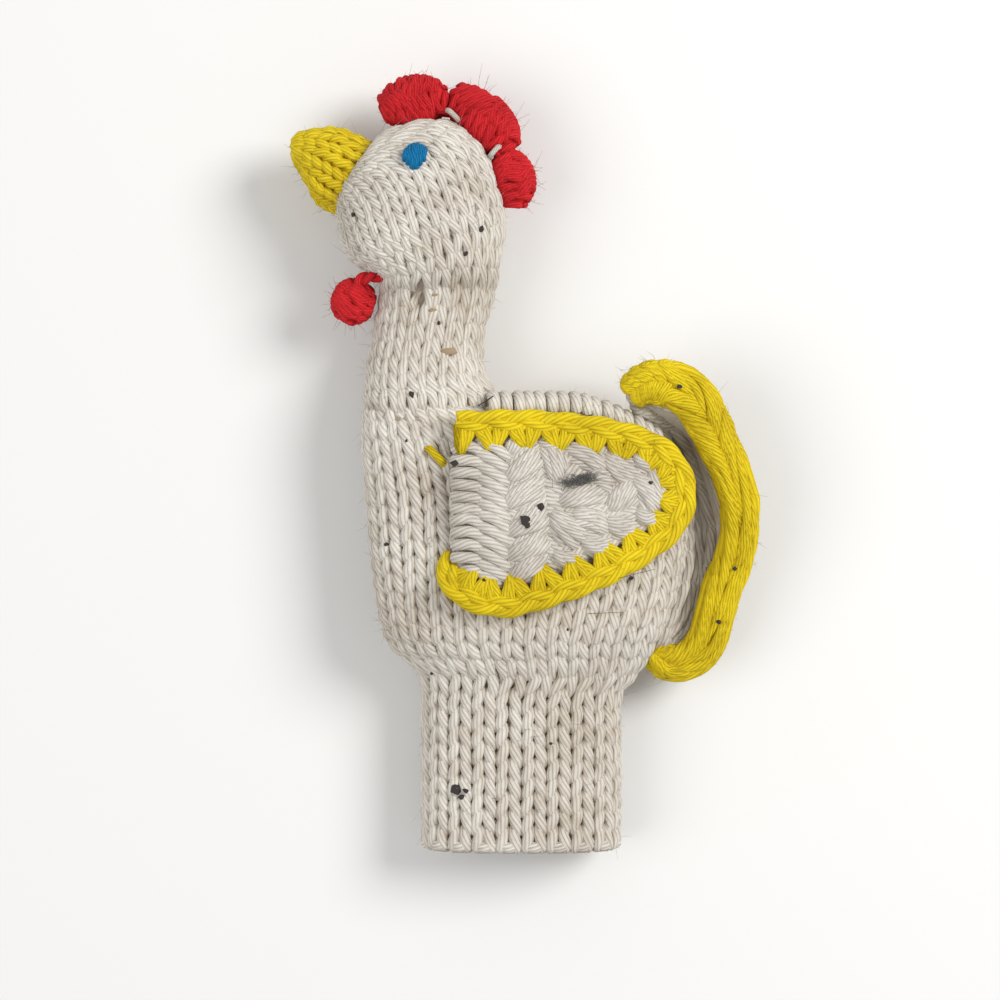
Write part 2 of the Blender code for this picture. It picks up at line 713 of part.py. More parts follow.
# Middle of the yellow rim, as shares of the tail's reach and height, from its top end to its
# bottom end, with its share of the way from the high end to the low end and its share of the width
TAIL_RIM = (
    (-0.07, 0.965, 0.10, 0.80), (0.11, 1.000, 0.00, 1.10), (0.35, 0.990, 0.00, 1.30),
    (0.57, 0.920, 0.00, 1.25), (0.75, 0.800, 0.05, 1.10), (0.90, 0.680, 0.12, 1.00),
    (0.99, 0.580, 0.22, 1.00), (1.00, 0.470, 0.38, 0.95), (0.94, 0.380, 0.50, 0.98),
    (0.82, 0.250, 0.68, 1.05), (0.74, 0.120, 0.85, 1.05), (0.60, 0.036, 0.95, 1.00),
    (0.36, 0.000, 1.00, 0.95), (0.18, 0.036, 1.00, 0.70),
)
TAIL_COLUMNS, TAIL_ROWS = 16, 4
TAIL_ROOT = (0.20, 0.90)    # the stretch of the torso's back edge that the fan is sewn to


def tail_points(count):
    """Points along the middle of the tail's rim, each with its share of the width."""
    left = CUFF_WIDTH / 2 + TAIL_SET
    bottom = CUFF_LENGTH + TAIL_FOOT
    height = TORSO_LENGTH - TAIL_FOOT + TAIL_OVER
    top = WING_LIFT + TORSO_DEPTH / 2 + TAIL_TOP_RISE
    points = [(left + TAIL_REACH * x, bottom + height * y,
               top - (TAIL_TOP_RISE + TAIL_END_DROP) * z, width)
              for x, y, z, width in TAIL_RIM]
    return through(points, count)


def back_edge(y):
    """The furthest point of the torso's back edge at a height along the puppet."""
    flat = STATIONS[:FIRST_NECK - 1]
    s = station_at(np.interp(y, [s.y for s in flat], range(len(flat))))
    return np.array([s.x + s.half_width, y, (s.low + s.high) / 2])


def tail_cord(name, grow, seat, collection, material):
    """The rim of the tail: a thick crocheted strip."""
    stitches = round(length_of(tail_points(60)) / TAIL_STITCH)
    points = tail_points(4 * stitches + 1)
    swell = [(0.88, 0.97, 1.0, 0.97)[k % 4] for k in range(len(points))]
    widths = [TAIL_RIM_WIDTH / 2 * p[3] * s + grow for p, s in zip(points, swell)]
    heights = [TAIL_RIM_THICKNESS / 2 * s + grow for s in swell]
    rim = cord(name, points[:, :3], widths, collection, material, heights)
    apply_boolean(rim, seat, "DIFFERENCE")
    return rim


def make_tail(seat, collection, material, helpers):
    """The cupped fan between the back of the torso and the rim."""
    rim = tail_points(TAIL_COLUMNS + 3)[1:-1, :3]
    low, high = (CUFF_LENGTH + TORSO_LENGTH * share for share in TAIL_ROOT)

    def underside(across, up):
        root = back_edge(high + (low - high) * across) - np.array([TAIL_ROOT_DEPTH, 0, 0])
        point = root + (rim[round(across * TAIL_COLUMNS)] - root) * up
        dip = TAIL_DIP * math.sin(math.pi * up) * math.sin(math.pi * min(max(across, 0.1), 0.9))
        point[2] -= TAIL_THICKNESS / 2 + dip
        return point

    tail = crocheted_panel("tail", TAIL_COLUMNS, TAIL_ROWS, underside, TAIL_THICKNESS,
                           collection, material)
    apply_boolean(tail, seat, "DIFFERENCE")
    edge = cutter(tail_cord("tail_rim_seat", SEAT_GAP, seat, helpers, None))
    apply_boolean(tail, edge, "DIFFERENCE")
    return tail


def stand_on_origin(objects, holder):
    """Moves the holder so that the origin is the middle of the underside of the whole puppet."""
    bpy.context.view_layer.update()
    corners = np.array([obj.matrix_world @ Vector(c) for obj in objects for c in obj.bound_box])
    low, high = corners.min(axis=0), corners.max(axis=0)
    holder.location = (-(low[0] + high[0]) / 2, -(low[1] + high[1]) / 2, -low[2])


def main():
    clear_scene()
    puppet = new_collection("hen_finger_puppet")
    helpers = new_collection("cutters")
    cream = new_material("cream_yarn", (0.66, 0.61, 0.54), 0.95)
    yellow = new_material("yellow_yarn", (0.76, 0.56, 0.03), 0.95)
    red = new_material("red_yarn", (0.58, 0.04, 0.04), 0.95)
    blue = new_material("blue_yarn", (0.02, 0.24, 0.42), 0.95)
    fibre = new_material("white_fibre", (0.78, 0.76, 0.72), 0.95)

    make_body(puppet, cream)
    make_stuffing(puppet, fibre)
    seat = make_envelope("seat", SEAT_GAP, helpers)
    tree = BVHTree.FromObject(seat, bpy.context.evaluated_depsgraph_get())

    make_beak(seat, puppet, yellow)
    comb = make_comb(seat, puppet, red)
    make_comb_stitches(comb, seat, puppet, cream, helpers)
    make_wattle(seat, puppet, red)
    make_eyes(seat, tree, puppet, blue)
    for side, upper in (("left", True), ("right", False)):
        make_wing_panel(f"wing_{side}", upper, puppet, cream, helpers)
        edging_cord(f"wing_{side}_edging", upper, 0.0, puppet, yellow)
    make_wing_stitch(tree, seat, puppet, yellow)
    make_tail(seat, puppet, cream, helpers)
    tail_cord("tail_edging", 0.0, seat, puppet, yellow)

    holder = bpy.data.objects.new("hen", None)
    puppet.objects.link(holder)
    pieces = [obj for obj in puppet.objects if obj.type == "MESH"]
    for obj in [*pieces, *helpers.objects]:
        obj.parent = holder
    stand_on_origin(pieces, holder)


main()
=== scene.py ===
"""A hand-knitted hen finger puppet, lying on its side, dressed in its real yarn."""

import math
from collections import namedtuple

import bmesh
import bpy
import numpy as np
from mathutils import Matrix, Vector
from mathutils.bvhtree import BVHTree


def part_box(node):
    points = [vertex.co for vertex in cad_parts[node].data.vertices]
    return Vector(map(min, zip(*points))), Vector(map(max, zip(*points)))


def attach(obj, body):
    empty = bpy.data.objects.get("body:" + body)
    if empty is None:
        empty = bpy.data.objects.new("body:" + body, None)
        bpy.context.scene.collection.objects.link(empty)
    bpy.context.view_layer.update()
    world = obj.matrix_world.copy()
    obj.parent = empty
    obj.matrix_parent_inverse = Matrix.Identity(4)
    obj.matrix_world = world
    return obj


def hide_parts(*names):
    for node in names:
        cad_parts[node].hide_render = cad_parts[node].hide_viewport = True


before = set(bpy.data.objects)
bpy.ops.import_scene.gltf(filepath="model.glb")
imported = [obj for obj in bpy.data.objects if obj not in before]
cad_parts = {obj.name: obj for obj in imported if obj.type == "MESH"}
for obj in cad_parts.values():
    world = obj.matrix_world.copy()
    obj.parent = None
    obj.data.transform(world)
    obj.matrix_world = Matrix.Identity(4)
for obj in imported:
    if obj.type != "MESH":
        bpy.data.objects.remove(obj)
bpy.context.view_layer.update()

# Camera, light and floor
# The puppet was photographed from straight above, in soft daylight from the right. The floor is a
# plain pale sheet.
VIEW_MIDDLE = (-0.0030, -0.0053)
VIEW_WIDTH = 0.1350                 # what the picture's width takes in at the puppet's height
VIEW_PLANE = 0.0110
CAMERA_HEIGHT = 0.3500
SENSOR = 36.0

camera = bpy.data.objects.new("camera", bpy.data.cameras.new("camera"))
bpy.context.scene.collection.objects.link(camera)
camera.location = (*VIEW_MIDDLE, CAMERA_HEIGHT)
camera.data.sensor_width = SENSOR
camera.data.lens = SENSOR * (CAMERA_HEIGHT - VIEW_PLANE) / VIEW_WIDTH
camera.data.clip_start = 0.01
bpy.context.scene.camera = camera


def lamp(name, place, size, power):
    made = bpy.data.objects.new(name, bpy.data.lights.new(name, "AREA"))
    bpy.context.scene.collection.objects.link(made)
    made.location = place
    made.rotation_euler = (-Vector(place)).to_track_quat("-Z", "Y").to_euler()
    made.data.shape = "DISK"
    made.data.size = size
    made.data.energy = power


lamp("window", (0.42, 0.20, 0.46), 0.32, 3.3)
lamp("room", (-0.50, -0.10, 0.60), 0.60, 2.2)

world = bpy.data.worlds.new("room")
bpy.context.scene.world = world
world.use_nodes = True
world.node_tree.nodes["Background"].inputs["Color"].default_value = (0.97, 0.98, 1.0, 1.0)
world.node_tree.nodes["Background"].inputs["Strength"].default_value = 0.52
bpy.context.scene.view_settings.view_transform = "Standard"


def plain(name, colour, roughness):
    """A finish of one even colour."""
    made = bpy.data.materials.new(name)
    made.use_nodes = True
    shader = made.node_tree.nodes["Principled BSDF"]
    shader.inputs["Base Color"].default_value = (*colour, 1.0)
    shader.inputs["Roughness"].default_value = roughness
    return made


def put_down(name, shape, material, rounded=True, wall=0.0):
    """A finished shape as a piece of the scene. A sheet gets a wall of some thickness."""
    piece = bpy.data.objects.new(name, bpy.data.meshes.new(name))
    shape.to_mesh(piece.data)
    shape.free()
    bpy.context.scene.collection.objects.link(piece)
    if rounded:
        piece.data.shade_smooth()
    piece.data.materials.append(material)
    if wall:
        body = piece.modifiers.new("thickness", "SOLIDIFY")
        body.thickness = wall
        body.offset = 0.0
    return piece


paper = bmesh.new()
bmesh.ops.create_grid(paper, x_segments=2, y_segments=2, size=3.0)
floor = put_down("floor", paper, plain("pale_floor", (0.78, 0.77, 0.75), 0.9), rounded=False)

# The yarn itself
# Soft cotton yarn of nine plies, about 1.7 mm thick and twisted so that the plies run up to the
# left. The same kind in cream, yellow, red and blue makes every piece.
PLIES = 9
PLY_TWIST = -math.radians(31.0) / 0.001      # turn of the plies along the yarn
CREAM_YARN = 0.00085                        # radius
FINE_YARN = 0.00070                         # radius up to which eight faces go round the yarn


def shader_node(tree, kind, **inputs):
    made = tree.nodes.new(kind)
    for name, value in inputs.items():
        made.inputs[name.replace("_", " ")].default_value = value
    return made


def spun_yarn(name, light, deep, fibre_scale, blotch=0.5):
    """Yarn's finish: fine fibres along the plies, uneven dye, and painted shade down in the gaps and in
    the ply grooves.
    """
    made = bpy.data.materials.new(name)
    made.use_nodes = True
    tree = made.node_tree
    shader = tree.nodes["Principled BSDF"]
    shader.inputs["Roughness"].default_value = 0.92
    shader.inputs["Specular IOR Level"].default_value = 0.25
    shader.inputs["Sheen Weight"].default_value = 0.22
    shader.inputs["Sheen Roughness"].default_value = 0.55
    shader.inputs["Sheen Tint"].default_value = (*light, 1.0)
    place = tree.nodes.new("ShaderNodeTexCoord")

    def noise(vector, scale, detail, roughness):
        made = shader_node(tree, "ShaderNodeTexNoise", Scale=scale, Detail=detail, Roughness=roughness)
        tree.links.new(vector, made.inputs["Vector"])
        return made.outputs["Fac"]

    def share(pattern, least, most, strength):
        """How much of the deep colour a pattern brings in."""
        made = shader_node(tree, "ShaderNodeMapRange", From_Min=least, From_Max=most,
                           To_Min=0.0, To_Max=strength)
        tree.links.new(pattern, made.inputs["Value"])
        return made.outputs["Result"]

    along = shader_node(tree, "ShaderNodeMapping", Scale=fibre_scale)
    tree.links.new(place.outputs["UV"], along.inputs["Vector"])
    fibre = noise(along.outputs["Vector"], 1.0, 3.0, 0.6)
    dye = noise(place.outputs["Object"], 420.0, 2.0, 0.5)
    patch = noise(place.outputs["Object"], 75.0, 3.0, 0.55)
    # Painted shade: the deeper a point lies under the fabric's face, the more of the deep colour it
    # takes.
    shade_depth = tree.nodes.new("ShaderNodeAttribute")
    shade_depth.attribute_name = "depth"
    # The grooves between the plies: painted shade in the colour, and a dent in the normal further down.
    around = tree.nodes.new("ShaderNodeSeparateXYZ")
    tree.links.new(place.outputs["UV"], around.inputs["Vector"])
    ply = tree.nodes.new("ShaderNodeMath")
    ply.operation = "PINGPONG"
    ply.inputs[1].default_value = 0.5 / PLIES
    tree.links.new(around.outputs["Y"], ply.inputs[0])
    groove = share(ply.outputs["Value"], 0.22 / PLIES, 0.5 / PLIES, 0.42)

    # The deep colour comes in as painted shade by depth and in the ply grooves, and as the uneven dye's
    # darker tone.
    total = share(shade_depth.outputs["Fac"], 0.0003, 0.0016, 0.85)
    for part in (share(patch, 0.35, 0.75, blotch), share(dye, 0.42, 0.72, 0.28),
                 share(fibre, 0.45, 0.75, 0.22), groove):
        join = tree.nodes.new("ShaderNodeMath")
        join.operation = "ADD"
        join.use_clamp = True
        tree.links.new(total, join.inputs[0])
        tree.links.new(part, join.inputs[1])
        total = join.outputs["Value"]
    blend = tree.nodes.new("ShaderNodeMix")
    blend.data_type = "RGBA"
    blend.inputs["A"].default_value = (*light, 1.0)
    blend.inputs["B"].default_value = (*deep, 1.0)
    tree.links.new(total, blend.inputs["Factor"])
    tree.links.new(blend.outputs["Result"], shader.inputs["Base Color"])

    bump = shader_node(tree, "ShaderNodeBump", Strength=0.6, Distance=0.00012)
    tree.links.new(fibre, bump.inputs["Height"])
    crease = shader_node(tree, "ShaderNodeBump", Strength=1.0, Distance=0.00020)
    crease.invert = True
    tree.links.new(groove, crease.inputs["Height"])
    tree.links.new(bump.outputs["Normal"], crease.inputs["Normal"])
    tree.links.new(crease.outputs["Normal"], shader.inputs["Normal"])
    return made


def yarn_curve(name, radius, corners):
    """An empty curve that will draw yarn or hair, round across."""
    cut = bpy.data.curves.new("yarn_profile", "CURVE")
    outline = cut.splines.new("POLY")
    outline.points.add(corners - 1)
    for k, point in enumerate(outline.points):
        turn = 2 * math.pi * k / corners
        point.co = (radius * math.cos(turn), radius * math.sin(turn), 0.0, 1.0)
    outline.use_cyclic_u = True
    curve = bpy.data.curves.new(name, "CURVE")
    curve.dimensions = "3D"
    curve.bevel_mode = "OBJECT"
    curve.bevel_object = bpy.data.objects.new("yarn_profile", cut)
    return curve


def drawn(name, curve, material):
    """The piece of yarn that a curve draws, as a mesh."""
    line = bpy.data.objects.new(name + "_line", curve)
    bpy.context.scene.collection.objects.link(line)
    graph = bpy.context.evaluated_depsgraph_get()
    mesh = bpy.data.meshes.new_from_object(line.evaluated_get(graph))
    mesh.name = name
    bpy.data.objects.remove(line)
    if curve.bevel_object:
        bpy.data.objects.remove(curve.bevel_object)
    mesh.materials.clear()
    mesh.materials.append(material)
    piece = bpy.data.objects.new(name, mesh)
    bpy.context.scene.collection.objects.link(piece)
    return piece


def spin(name, strands, radius, material, closed=False, normals=None, depths=None):
    """Yarn laid along each strand, a row of points. The plies wind round it."""
    corners = 10 if radius > FINE_YARN else 8
    curve = yarn_curve(name, radius, corners)
    curve.twist_mode = "MINIMUM"
    curve.use_fill_caps = not closed
    for strand in strands:
        strand = np.asarray(strand)
        count = len(strand)
        spline = curve.splines.new("POLY")
        spline.points.add(count - 1)
        spline.points.foreach_set("co", np.column_stack([strand, np.ones(count)]).ravel())
        loop = np.vstack([strand, strand[:1]]) if closed else strand
        length = np.linalg.norm(np.diff(loop, axis=0), axis=1).sum()
        turns = length * PLY_TWIST / (2 * math.pi)
        if closed:
            turns = round(turns)
        steps = count if closed else count - 1
        spline.points.foreach_set("tilt", np.arange(count) * 2 * math.pi * turns / steps)
        spline.use_cyclic_u = closed
    piece = drawn(name, curve, material)
    mesh = piece.data
    # Each point's depth under the fabric's face, which the finish turns into painted shade in the gaps.
    if normals is not None:
        centres = np.repeat(np.concatenate(strands), corners, axis=0)
        out = np.repeat(np.concatenate(normals), corners, axis=0)
        under = np.repeat(np.concatenate(depths), corners)
        place = np.zeros(3 * len(mesh.vertices))
        mesh.vertices.foreach_get("co", place)
        shade_depth = under - ((place.reshape(-1, 3) - centres) * out).sum(axis=1)
        mesh.attributes.new("depth", "FLOAT", "POINT").data.foreach_set("value", shade_depth)
    mesh.shade_smooth()
    return piece


def finish_yarn(piece, slot, *nodes):
    """A piece of yarn on the puppet's one body, in place of some solid nodes. The slot is not used."""
    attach(piece, "root")
    if nodes:
        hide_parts(*nodes)


# The second colour is both the painted shade in the gaps and grooves and the darker tone of the uneven
# dye.
cream_yarn = spun_yarn("cream_yarn", (0.77, 0.735, 0.665), (0.42, 0.35, 0.27), (60.0, 55.0, 1.0))

# The knitted body: cuff, torso, neck and head
# One tube of stocking stitch, knitted from the beak down to the hem, so that each stitch is an
# upturned V. Its cross-sections are those of the solid body.
ROW_HEIGHT = 0.00225
CUFF_WIDTH = 0.0278
CUFF_LENGTH = 0.0192
CUFF_DEPTH = 0.0136
CUFF_SINK = 0.0006
TORSO_LENGTH = 0.0405
TORSO_DEPTH = 0.0135
BREAST_REACH = 0.0080
BACK_REACH = 0.0088
NECK_WIDTH = 0.0160
NECK_LENGTH = 0.0145
NECK_DEPTH = 0.0122
NECK_LEAN = 0.0020
SHOULDER = 0.0010
HEAD_WIDTH = 0.0235
HEAD_DEPTH = 0.0160
HEAD_REACH = 0.0113
HEAD_RISE = 0.0184
WING_LIFT = 0.0033
HEAD_LIFT = 0.0014
ROUNDNESS = 2.4
CUFF_WALES, TORSO_WALES = 20, 28
CUFF_YARN = 0.94 * CREAM_YARN       # the same yarn, drawn tighter
NECK_YARN = 0.88 * CREAM_YARN
HEAD_YARN = 0.84 * CREAM_YARN

Station = namedtuple("Station", "x y tilt half_width low high back_share")


def smooth(values, t):
    """A curve through evenly spaced values that never overshoots them."""
    last = len(values) - 1
    i = min(max(int(t), 0), last - 1)
    f = t - i

    def slope(k):
        if k <= 0 or k >= last:
            return 0.0
        before = values[k] - values[k - 1]
        after = values[k + 1] - values[k]
        return 0.0 if before * after <= 0 else 2 * before * after / (before + after)

    rise = values[i + 1] - values[i]
    a, b = slope(i), slope(i + 1)
    return values[i] + f * (a + f * (3 * rise - 2 * a - b + f * (a + b - 2 * rise)))


# Share of the torso's length, breast's reach, back's reach, lift, and thickness at the back
TORSO_OUTLINE = (
    (0.00, 0.00, 0.00, 0.00, 1.0), (0.09, 0.05, 0.25, 0.15, 1.0), (0.15, 0.34, 0.43, 0.45, 1.0),
    (0.20, 0.54, 0.53, 0.75, 1.0), (0.28, 0.68, 0.70, 1.00, 1.0), (0.40, 0.78, 0.89, 1.00, 1.0),
    (0.53, 0.86, 1.00, 1.00, 1.0), (0.67, 0.92, 1.00, 1.00, 1.0), (0.80, 0.97, 0.80, 1.00, 0.9),
    (0.90, 1.00, 0.52, 1.00, 0.7), (0.96, 0.99, 0.26, 1.00, 0.5), (0.99, 0.97, -0.08, 1.00, 0.4),
)
# Share of the neck's length, width and lean, of the way from torso height to neck height, and
# thickness at the back
NECK_OUTLINE = (
    (0.00, 1.28, 0.00, 0.20, 0.7), (0.14, 1.10, 0.10, 0.45, 0.9), (0.35, 1.03, 0.20, 0.75, 1.0),
    (0.67, 0.98, 0.62, 1.00, 1.0), (1.00, 1.01, 1.00, 1.00, 1.0),
)
# Share of the head's forward reach, rise and width, tilt in degrees, and share of its depth
HEAD_OUTLINE = (
    (-0.05, 0.17, 0.71, 6.5, 0.84), (-0.01, 0.33, 0.84, 16.0, 0.93), (0.10, 0.49, 0.96, 21.0, 0.99),
    (0.20, 0.66, 1.00, 26.0, 1.00), (0.32, 0.83, 0.97, 32.0, 1.00), (0.52, 0.96, 0.87, 40.0, 0.94),
    (0.74, 1.00, 0.68, 46.5, 0.82), (0.88, 1.00, 0.50, 53.0, 0.66), (0.94, 0.98, 0.34, 57.0, 0.48),
)
CAD_SHIFT = -0.000126               # from the middle of the cuff to the middle of the whole puppet


def flat_station(height, left, right, low, high, back_share=1.0):
    return Station((left + right) / 2, height, 0.0, (right - left) / 2, low, high, back_share)


hem_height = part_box("body")[0].y


def knitted_stations():
    """Cross-sections of the tube from the cuff's mouth to the root of the beak."""
    left = -CUFF_WIDTH / 2 + CAD_SHIFT
    right = left + CUFF_WIDTH
    cuff_top = CUFF_DEPTH - CUFF_SINK
    torso_top = WING_LIFT + TORSO_DEPTH
    stations = [flat_station(hem_height + CUFF_LENGTH * share, left, right, -CUFF_SINK, cuff_top)
                for share in (0.0, 0.5)]
    for along, breast, back, lift, share in TORSO_OUTLINE:
        stations.append(flat_station(
            hem_height + CUFF_LENGTH + TORSO_LENGTH * along,
            left - BREAST_REACH * breast, right + BACK_REACH * back,
            -CUFF_SINK + (WING_LIFT + CUFF_SINK) * lift,
            cuff_top + (torso_top - cuff_top) * lift, share))
    neck_bottom = hem_height + CUFF_LENGTH + TORSO_LENGTH
    for along, width, lean, settle, share in NECK_OUTLINE:
        edge = left - BREAST_REACH * 0.97 + NECK_LEAN * lean
        stations.append(flat_station(
            neck_bottom + SHOULDER + (NECK_LENGTH - SHOULDER) * along, edge,
            edge + NECK_WIDTH * width, WING_LIFT + (HEAD_LIFT - WING_LIFT) * settle,
            torso_top + (HEAD_LIFT + NECK_DEPTH - torso_top) * settle, share))
    top = stations[-1]
    middle = HEAD_LIFT + HEAD_DEPTH / 2
    for forward, rise, width, tilt, depth in HEAD_OUTLINE:
        half_depth = HEAD_DEPTH * depth / 2
        stations.append(Station(
            top.x - HEAD_REACH * forward, top.y + HEAD_RISE * rise, math.radians(tilt),
            HEAD_WIDTH * width / 2, middle - half_depth, middle + half_depth, 1.0))
    return stations


STATIONS = knitted_stations()
FIRST_NECK = 2 + len(TORSO_OUTLINE)
FIRST_HEAD = FIRST_NECK + len(NECK_OUTLINE)
LAST = len(STATIONS) - 1


def station_at(t, stations=STATIONS):
    return Station(*(smooth([s[k] for s in stations], t) for k in range(len(Station._fields))))


def cross_section(station, grow, count):
    """Points evenly spaced round a cross-section, from its left edge over the top."""
    angle = np.linspace(math.pi, -math.pi, 193)
    cosine, sine = np.cos(angle), np.sin(angle)
    half_width = max(station.half_width + grow, 0.0001)
    half_depth = max((station.high - station.low) / 2 + grow, 0.0001)
    across = np.sign(cosine) * np.abs(cosine) ** (2 / ROUNDNESS)
    taper = 1 + (station.back_share - 1) * (across + 1) / 2
    z = np.sign(sine) * np.abs(sine) ** (2 / ROUNDNESS) * half_depth * taper
    x = across * half_width
    length = np.concatenate([[0.0], np.cumsum(np.hypot(np.diff(x), np.diff(z)))])
    wanted = length[-1] * np.arange(count) / count
    x, z = np.interp(wanted, length, x), np.interp(wanted, length, z)
    z += (station.low + station.high) / 2
    return np.stack([station.x + x * math.cos(station.tilt),
                     station.y + x * math.sin(station.tilt), np.maximum(z, 0.0)], axis=1)


def ring_places(stations, first, last, spacing):
    """Places along the tube between two stations, one about every spacing."""
    fine = np.linspace(first, last, 400)
    found = [station_at(t, stations) for t in fine]
    step = [0.0]
    for before, after in zip(found, found[1:]):
        flat = before.tilt == 0 and after.tilt == 0
        step.append(after.y - before.y if flat
                    else math.hypot(after.x - before.x, after.y - before.y))
    travel = np.cumsum(step)
    count = max(2, round(travel[-1] / spacing))
    return list(np.interp(np.linspace(0, travel[-1], count + 1), travel, fine))


RINGS_PER_ROW = 6
RING_POINTS = 96


def skin_of(stations, places):
    """The face of a knitted tube as rings of points, six to a knitted row, with their normals."""
    fine = np.interp(np.arange((len(places) - 1) * RINGS_PER_ROW + 1) / RINGS_PER_ROW,
                     range(len(places)), places)
    rings = np.array([cross_section(station_at(t, stations), 0.0, RING_POINTS) for t in fine])
    around = np.roll(rings, -1, axis=1) - np.roll(rings, 1, axis=1)
    normal = np.cross(np.gradient(rings, axis=0), around)
    normal /= np.linalg.norm(normal, axis=2, keepdims=True) + 1e-12
    outward = ((rings - rings.mean(axis=1, keepdims=True)) * normal).sum(axis=2)
    normal *= np.where(outward < 0, -1.0, 1.0)[:, :, None]
    return rings, normal


def on_skin(skin, row, turn):
    """Points and normals of the skin at rows along it and turns round it."""
    rings, normal = skin
    place = np.clip(row * RINGS_PER_ROW, 0, len(rings) - 1.001)
    i = place.astype(int)
    f = (place - i)[:, None]
    angle = (turn % 1.0) * RING_POINTS
    j = angle.astype(int) % RING_POINTS
    g = (angle - np.floor(angle))[:, None]
    k = (j + 1) % RING_POINTS
    found = []
    for face in (rings, normal):
        found.append((face[i, j] * (1 - g) + face[i, k] * g) * (1 - f)
                     + (face[i + 1, j] * (1 - g) + face[i + 1, k] * g) * f)
    found[1] /= np.linalg.norm(found[1], axis=1, keepdims=True)
    return found


# The lower skin closes over the shoulder, and the upper one, of the neck and head, starts inside it
back = STATIONS[FIRST_NECK - 1]
LOWER = STATIONS[:FIRST_NECK]
for rise, share in ((0.0007, 0.62), (0.0011, 0.12)):
    half = (back.high - back.low) / 2 * share
    LOWER.append(back._replace(y=back.y + rise, low=(back.low + back.high) / 2 - half,
                               high=(back.low + back.high) / 2 + half))
shoulder = STATIONS[FIRST_NECK]
NECK_INSIDE = 1.5 * ROW_HEIGHT      # how far down inside the torso the neck's skin starts
HEAD_ROW = 0.85 * ROW_HEIGHT
UPPER = [shoulder._replace(y=shoulder.y - NECK_INSIDE, low=back.low, high=back.high,
                           back_share=1.0)] + STATIONS[FIRST_NECK:]
lower_rows = ring_places(LOWER, 0, FIRST_NECK - 1, ROW_HEIGHT) + [FIRST_NECK, FIRST_NECK + 1]
throat = FIRST_HEAD - FIRST_NECK + 1
upper_rows = (ring_places(UPPER, 0, throat, ROW_HEIGHT)
              + ring_places(UPPER, throat, len(UPPER) - 1, HEAD_ROW)[1:])
lower_skin = skin_of(LOWER, lower_rows)
upper_skin = skin_of(UPPER, upper_rows)
STEPS = 16                          # points to a stitch
LEAN = 0.19                         # how far the legs of a stitch lean, as a share of its width
REACH = 0.80                        # how far a stitch reaches past its own row, in rows
DIVE = 0.00042                      # how far its ends dip behind its neighbours
UNEVEN_WIDTH = 0.026                # how uneven the stitches are, in wales, rows and metres of depth
UNEVEN_HEIGHT = 0.045
UNEVEN_DEPTH = 0.00005
HIDDEN_WALES = 3                    # wales underneath that take up what the girth leaves over
chance = np.random.default_rng(7)


def wander(count, amount):
    """Small uneven shifts that change slowly along the yarn and close on themselves."""
    raw = chance.normal(0, 1, count)
    reach = 9
    kernel = np.hanning(reach + 2)
    padded = np.concatenate([raw[-reach:], raw, raw[:reach]])
    soft = np.convolve(padded, kernel / np.sqrt((kernel ** 2).sum()), "same")[reach:-reach]
    return soft * amount


def girth(skin, row):
    """How far it is round the tube at a row."""
    ring = skin[0][int(round(row * RINGS_PER_ROW))]
    return float(np.linalg.norm(ring - np.roll(ring, -1, axis=0), axis=1).sum())


def course(skin, row, wales, radius, wale_width=None, bury=None, tuck=0.0):
    """One knitted row round the tube: points, normals and depths of its yarn.

    With a wale width, the wales keep that width from the left edge over the top, and the hidden
    ones underneath take up the rest."""
    count = wales * STEPS
    phase = np.arange(count) * 2 * math.pi / STEPS
    number = phase / (2 * math.pi) + LEAN * np.sin(2 * phase)
    if wale_width is None:
        turn = number / wales
    else:
        seen = wales - HIDDEN_WALES
        turn = np.interp(number, [0, seen, wales], [0, seen * wale_width / girth(skin, row), 1])
    turn = turn + wander(count, UNEVEN_WIDTH / wales)
    up = row + REACH * np.cos(phase) + wander(count, UNEVEN_HEIGHT)
    depth = radius * 1.02 + DIVE + DIVE * np.cos(2 * phase) + np.abs(wander(count, UNEVEN_DEPTH))
    point, normal = on_skin(skin, up, turn)
    depth += tuck * np.maximum(-np.cos(phase), 0.0) ** 3
    if bury is not None:
        more, shift = bury(point)
        depth, point = depth + more, point + shift
    return point - normal * depth[:, None], normal, depth


def knit(name, skin, row_numbers, wales, radius, material, widest=None, bury=None, tuck=0.0):
    """Rows of stitches. A wale width can stand for the number of wales, up to the widest row.

    The feet of the first row can be tucked in behind the fabric below."""
    made = []
    for row in row_numbers:
        under = tuck if row == row_numbers[0] else 0.0
        if widest is None:
            made.append(course(skin, row, wales, radius, None, bury, under))
        else:
            count = round(girth(skin, min(row, widest)) / wales)
            made.append(course(skin, row, count, radius, wales if row < widest else None, bury,
                               under))
    strands, normals, depths = zip(*made)
    return spin(name, strands, radius, material, True, normals, depths)


cuff_end = int(np.searchsorted(lower_rows, 2.5))
breast = (cuff_end + len(lower_rows)) // 2
neck_end = int(np.searchsorted(upper_rows, throat + 0.3))
cuff = knit("cuff", lower_skin, np.arange(0.6, cuff_end), CUFF_WALES, CUFF_YARN, cream_yarn)
torso_low = knit("torso_low", lower_skin, np.arange(cuff_end + 0.6, breast), TORSO_WALES,
                 CREAM_YARN, cream_yarn)
torso_high = knit("torso_high", lower_skin, np.arange(breast + 0.6, len(lower_rows) - 3),
                  TORSO_WALES, CREAM_YARN, cream_yarn)
ROW_SINK = 0.0035                   # how far the torso's last row sinks where the ridge ends


def shoulder_lie(p):
    """The torso's last row sinks out of sight inside the neck and at the tail."""
    neck_side = shoulder.x + shoulder.half_width - 0.0030
    back_side = back.x + back.half_width - 0.0045
    return ROW_SINK * ((p[:, 0] < neck_side) | (p[:, 0] > back_side)), 0.0


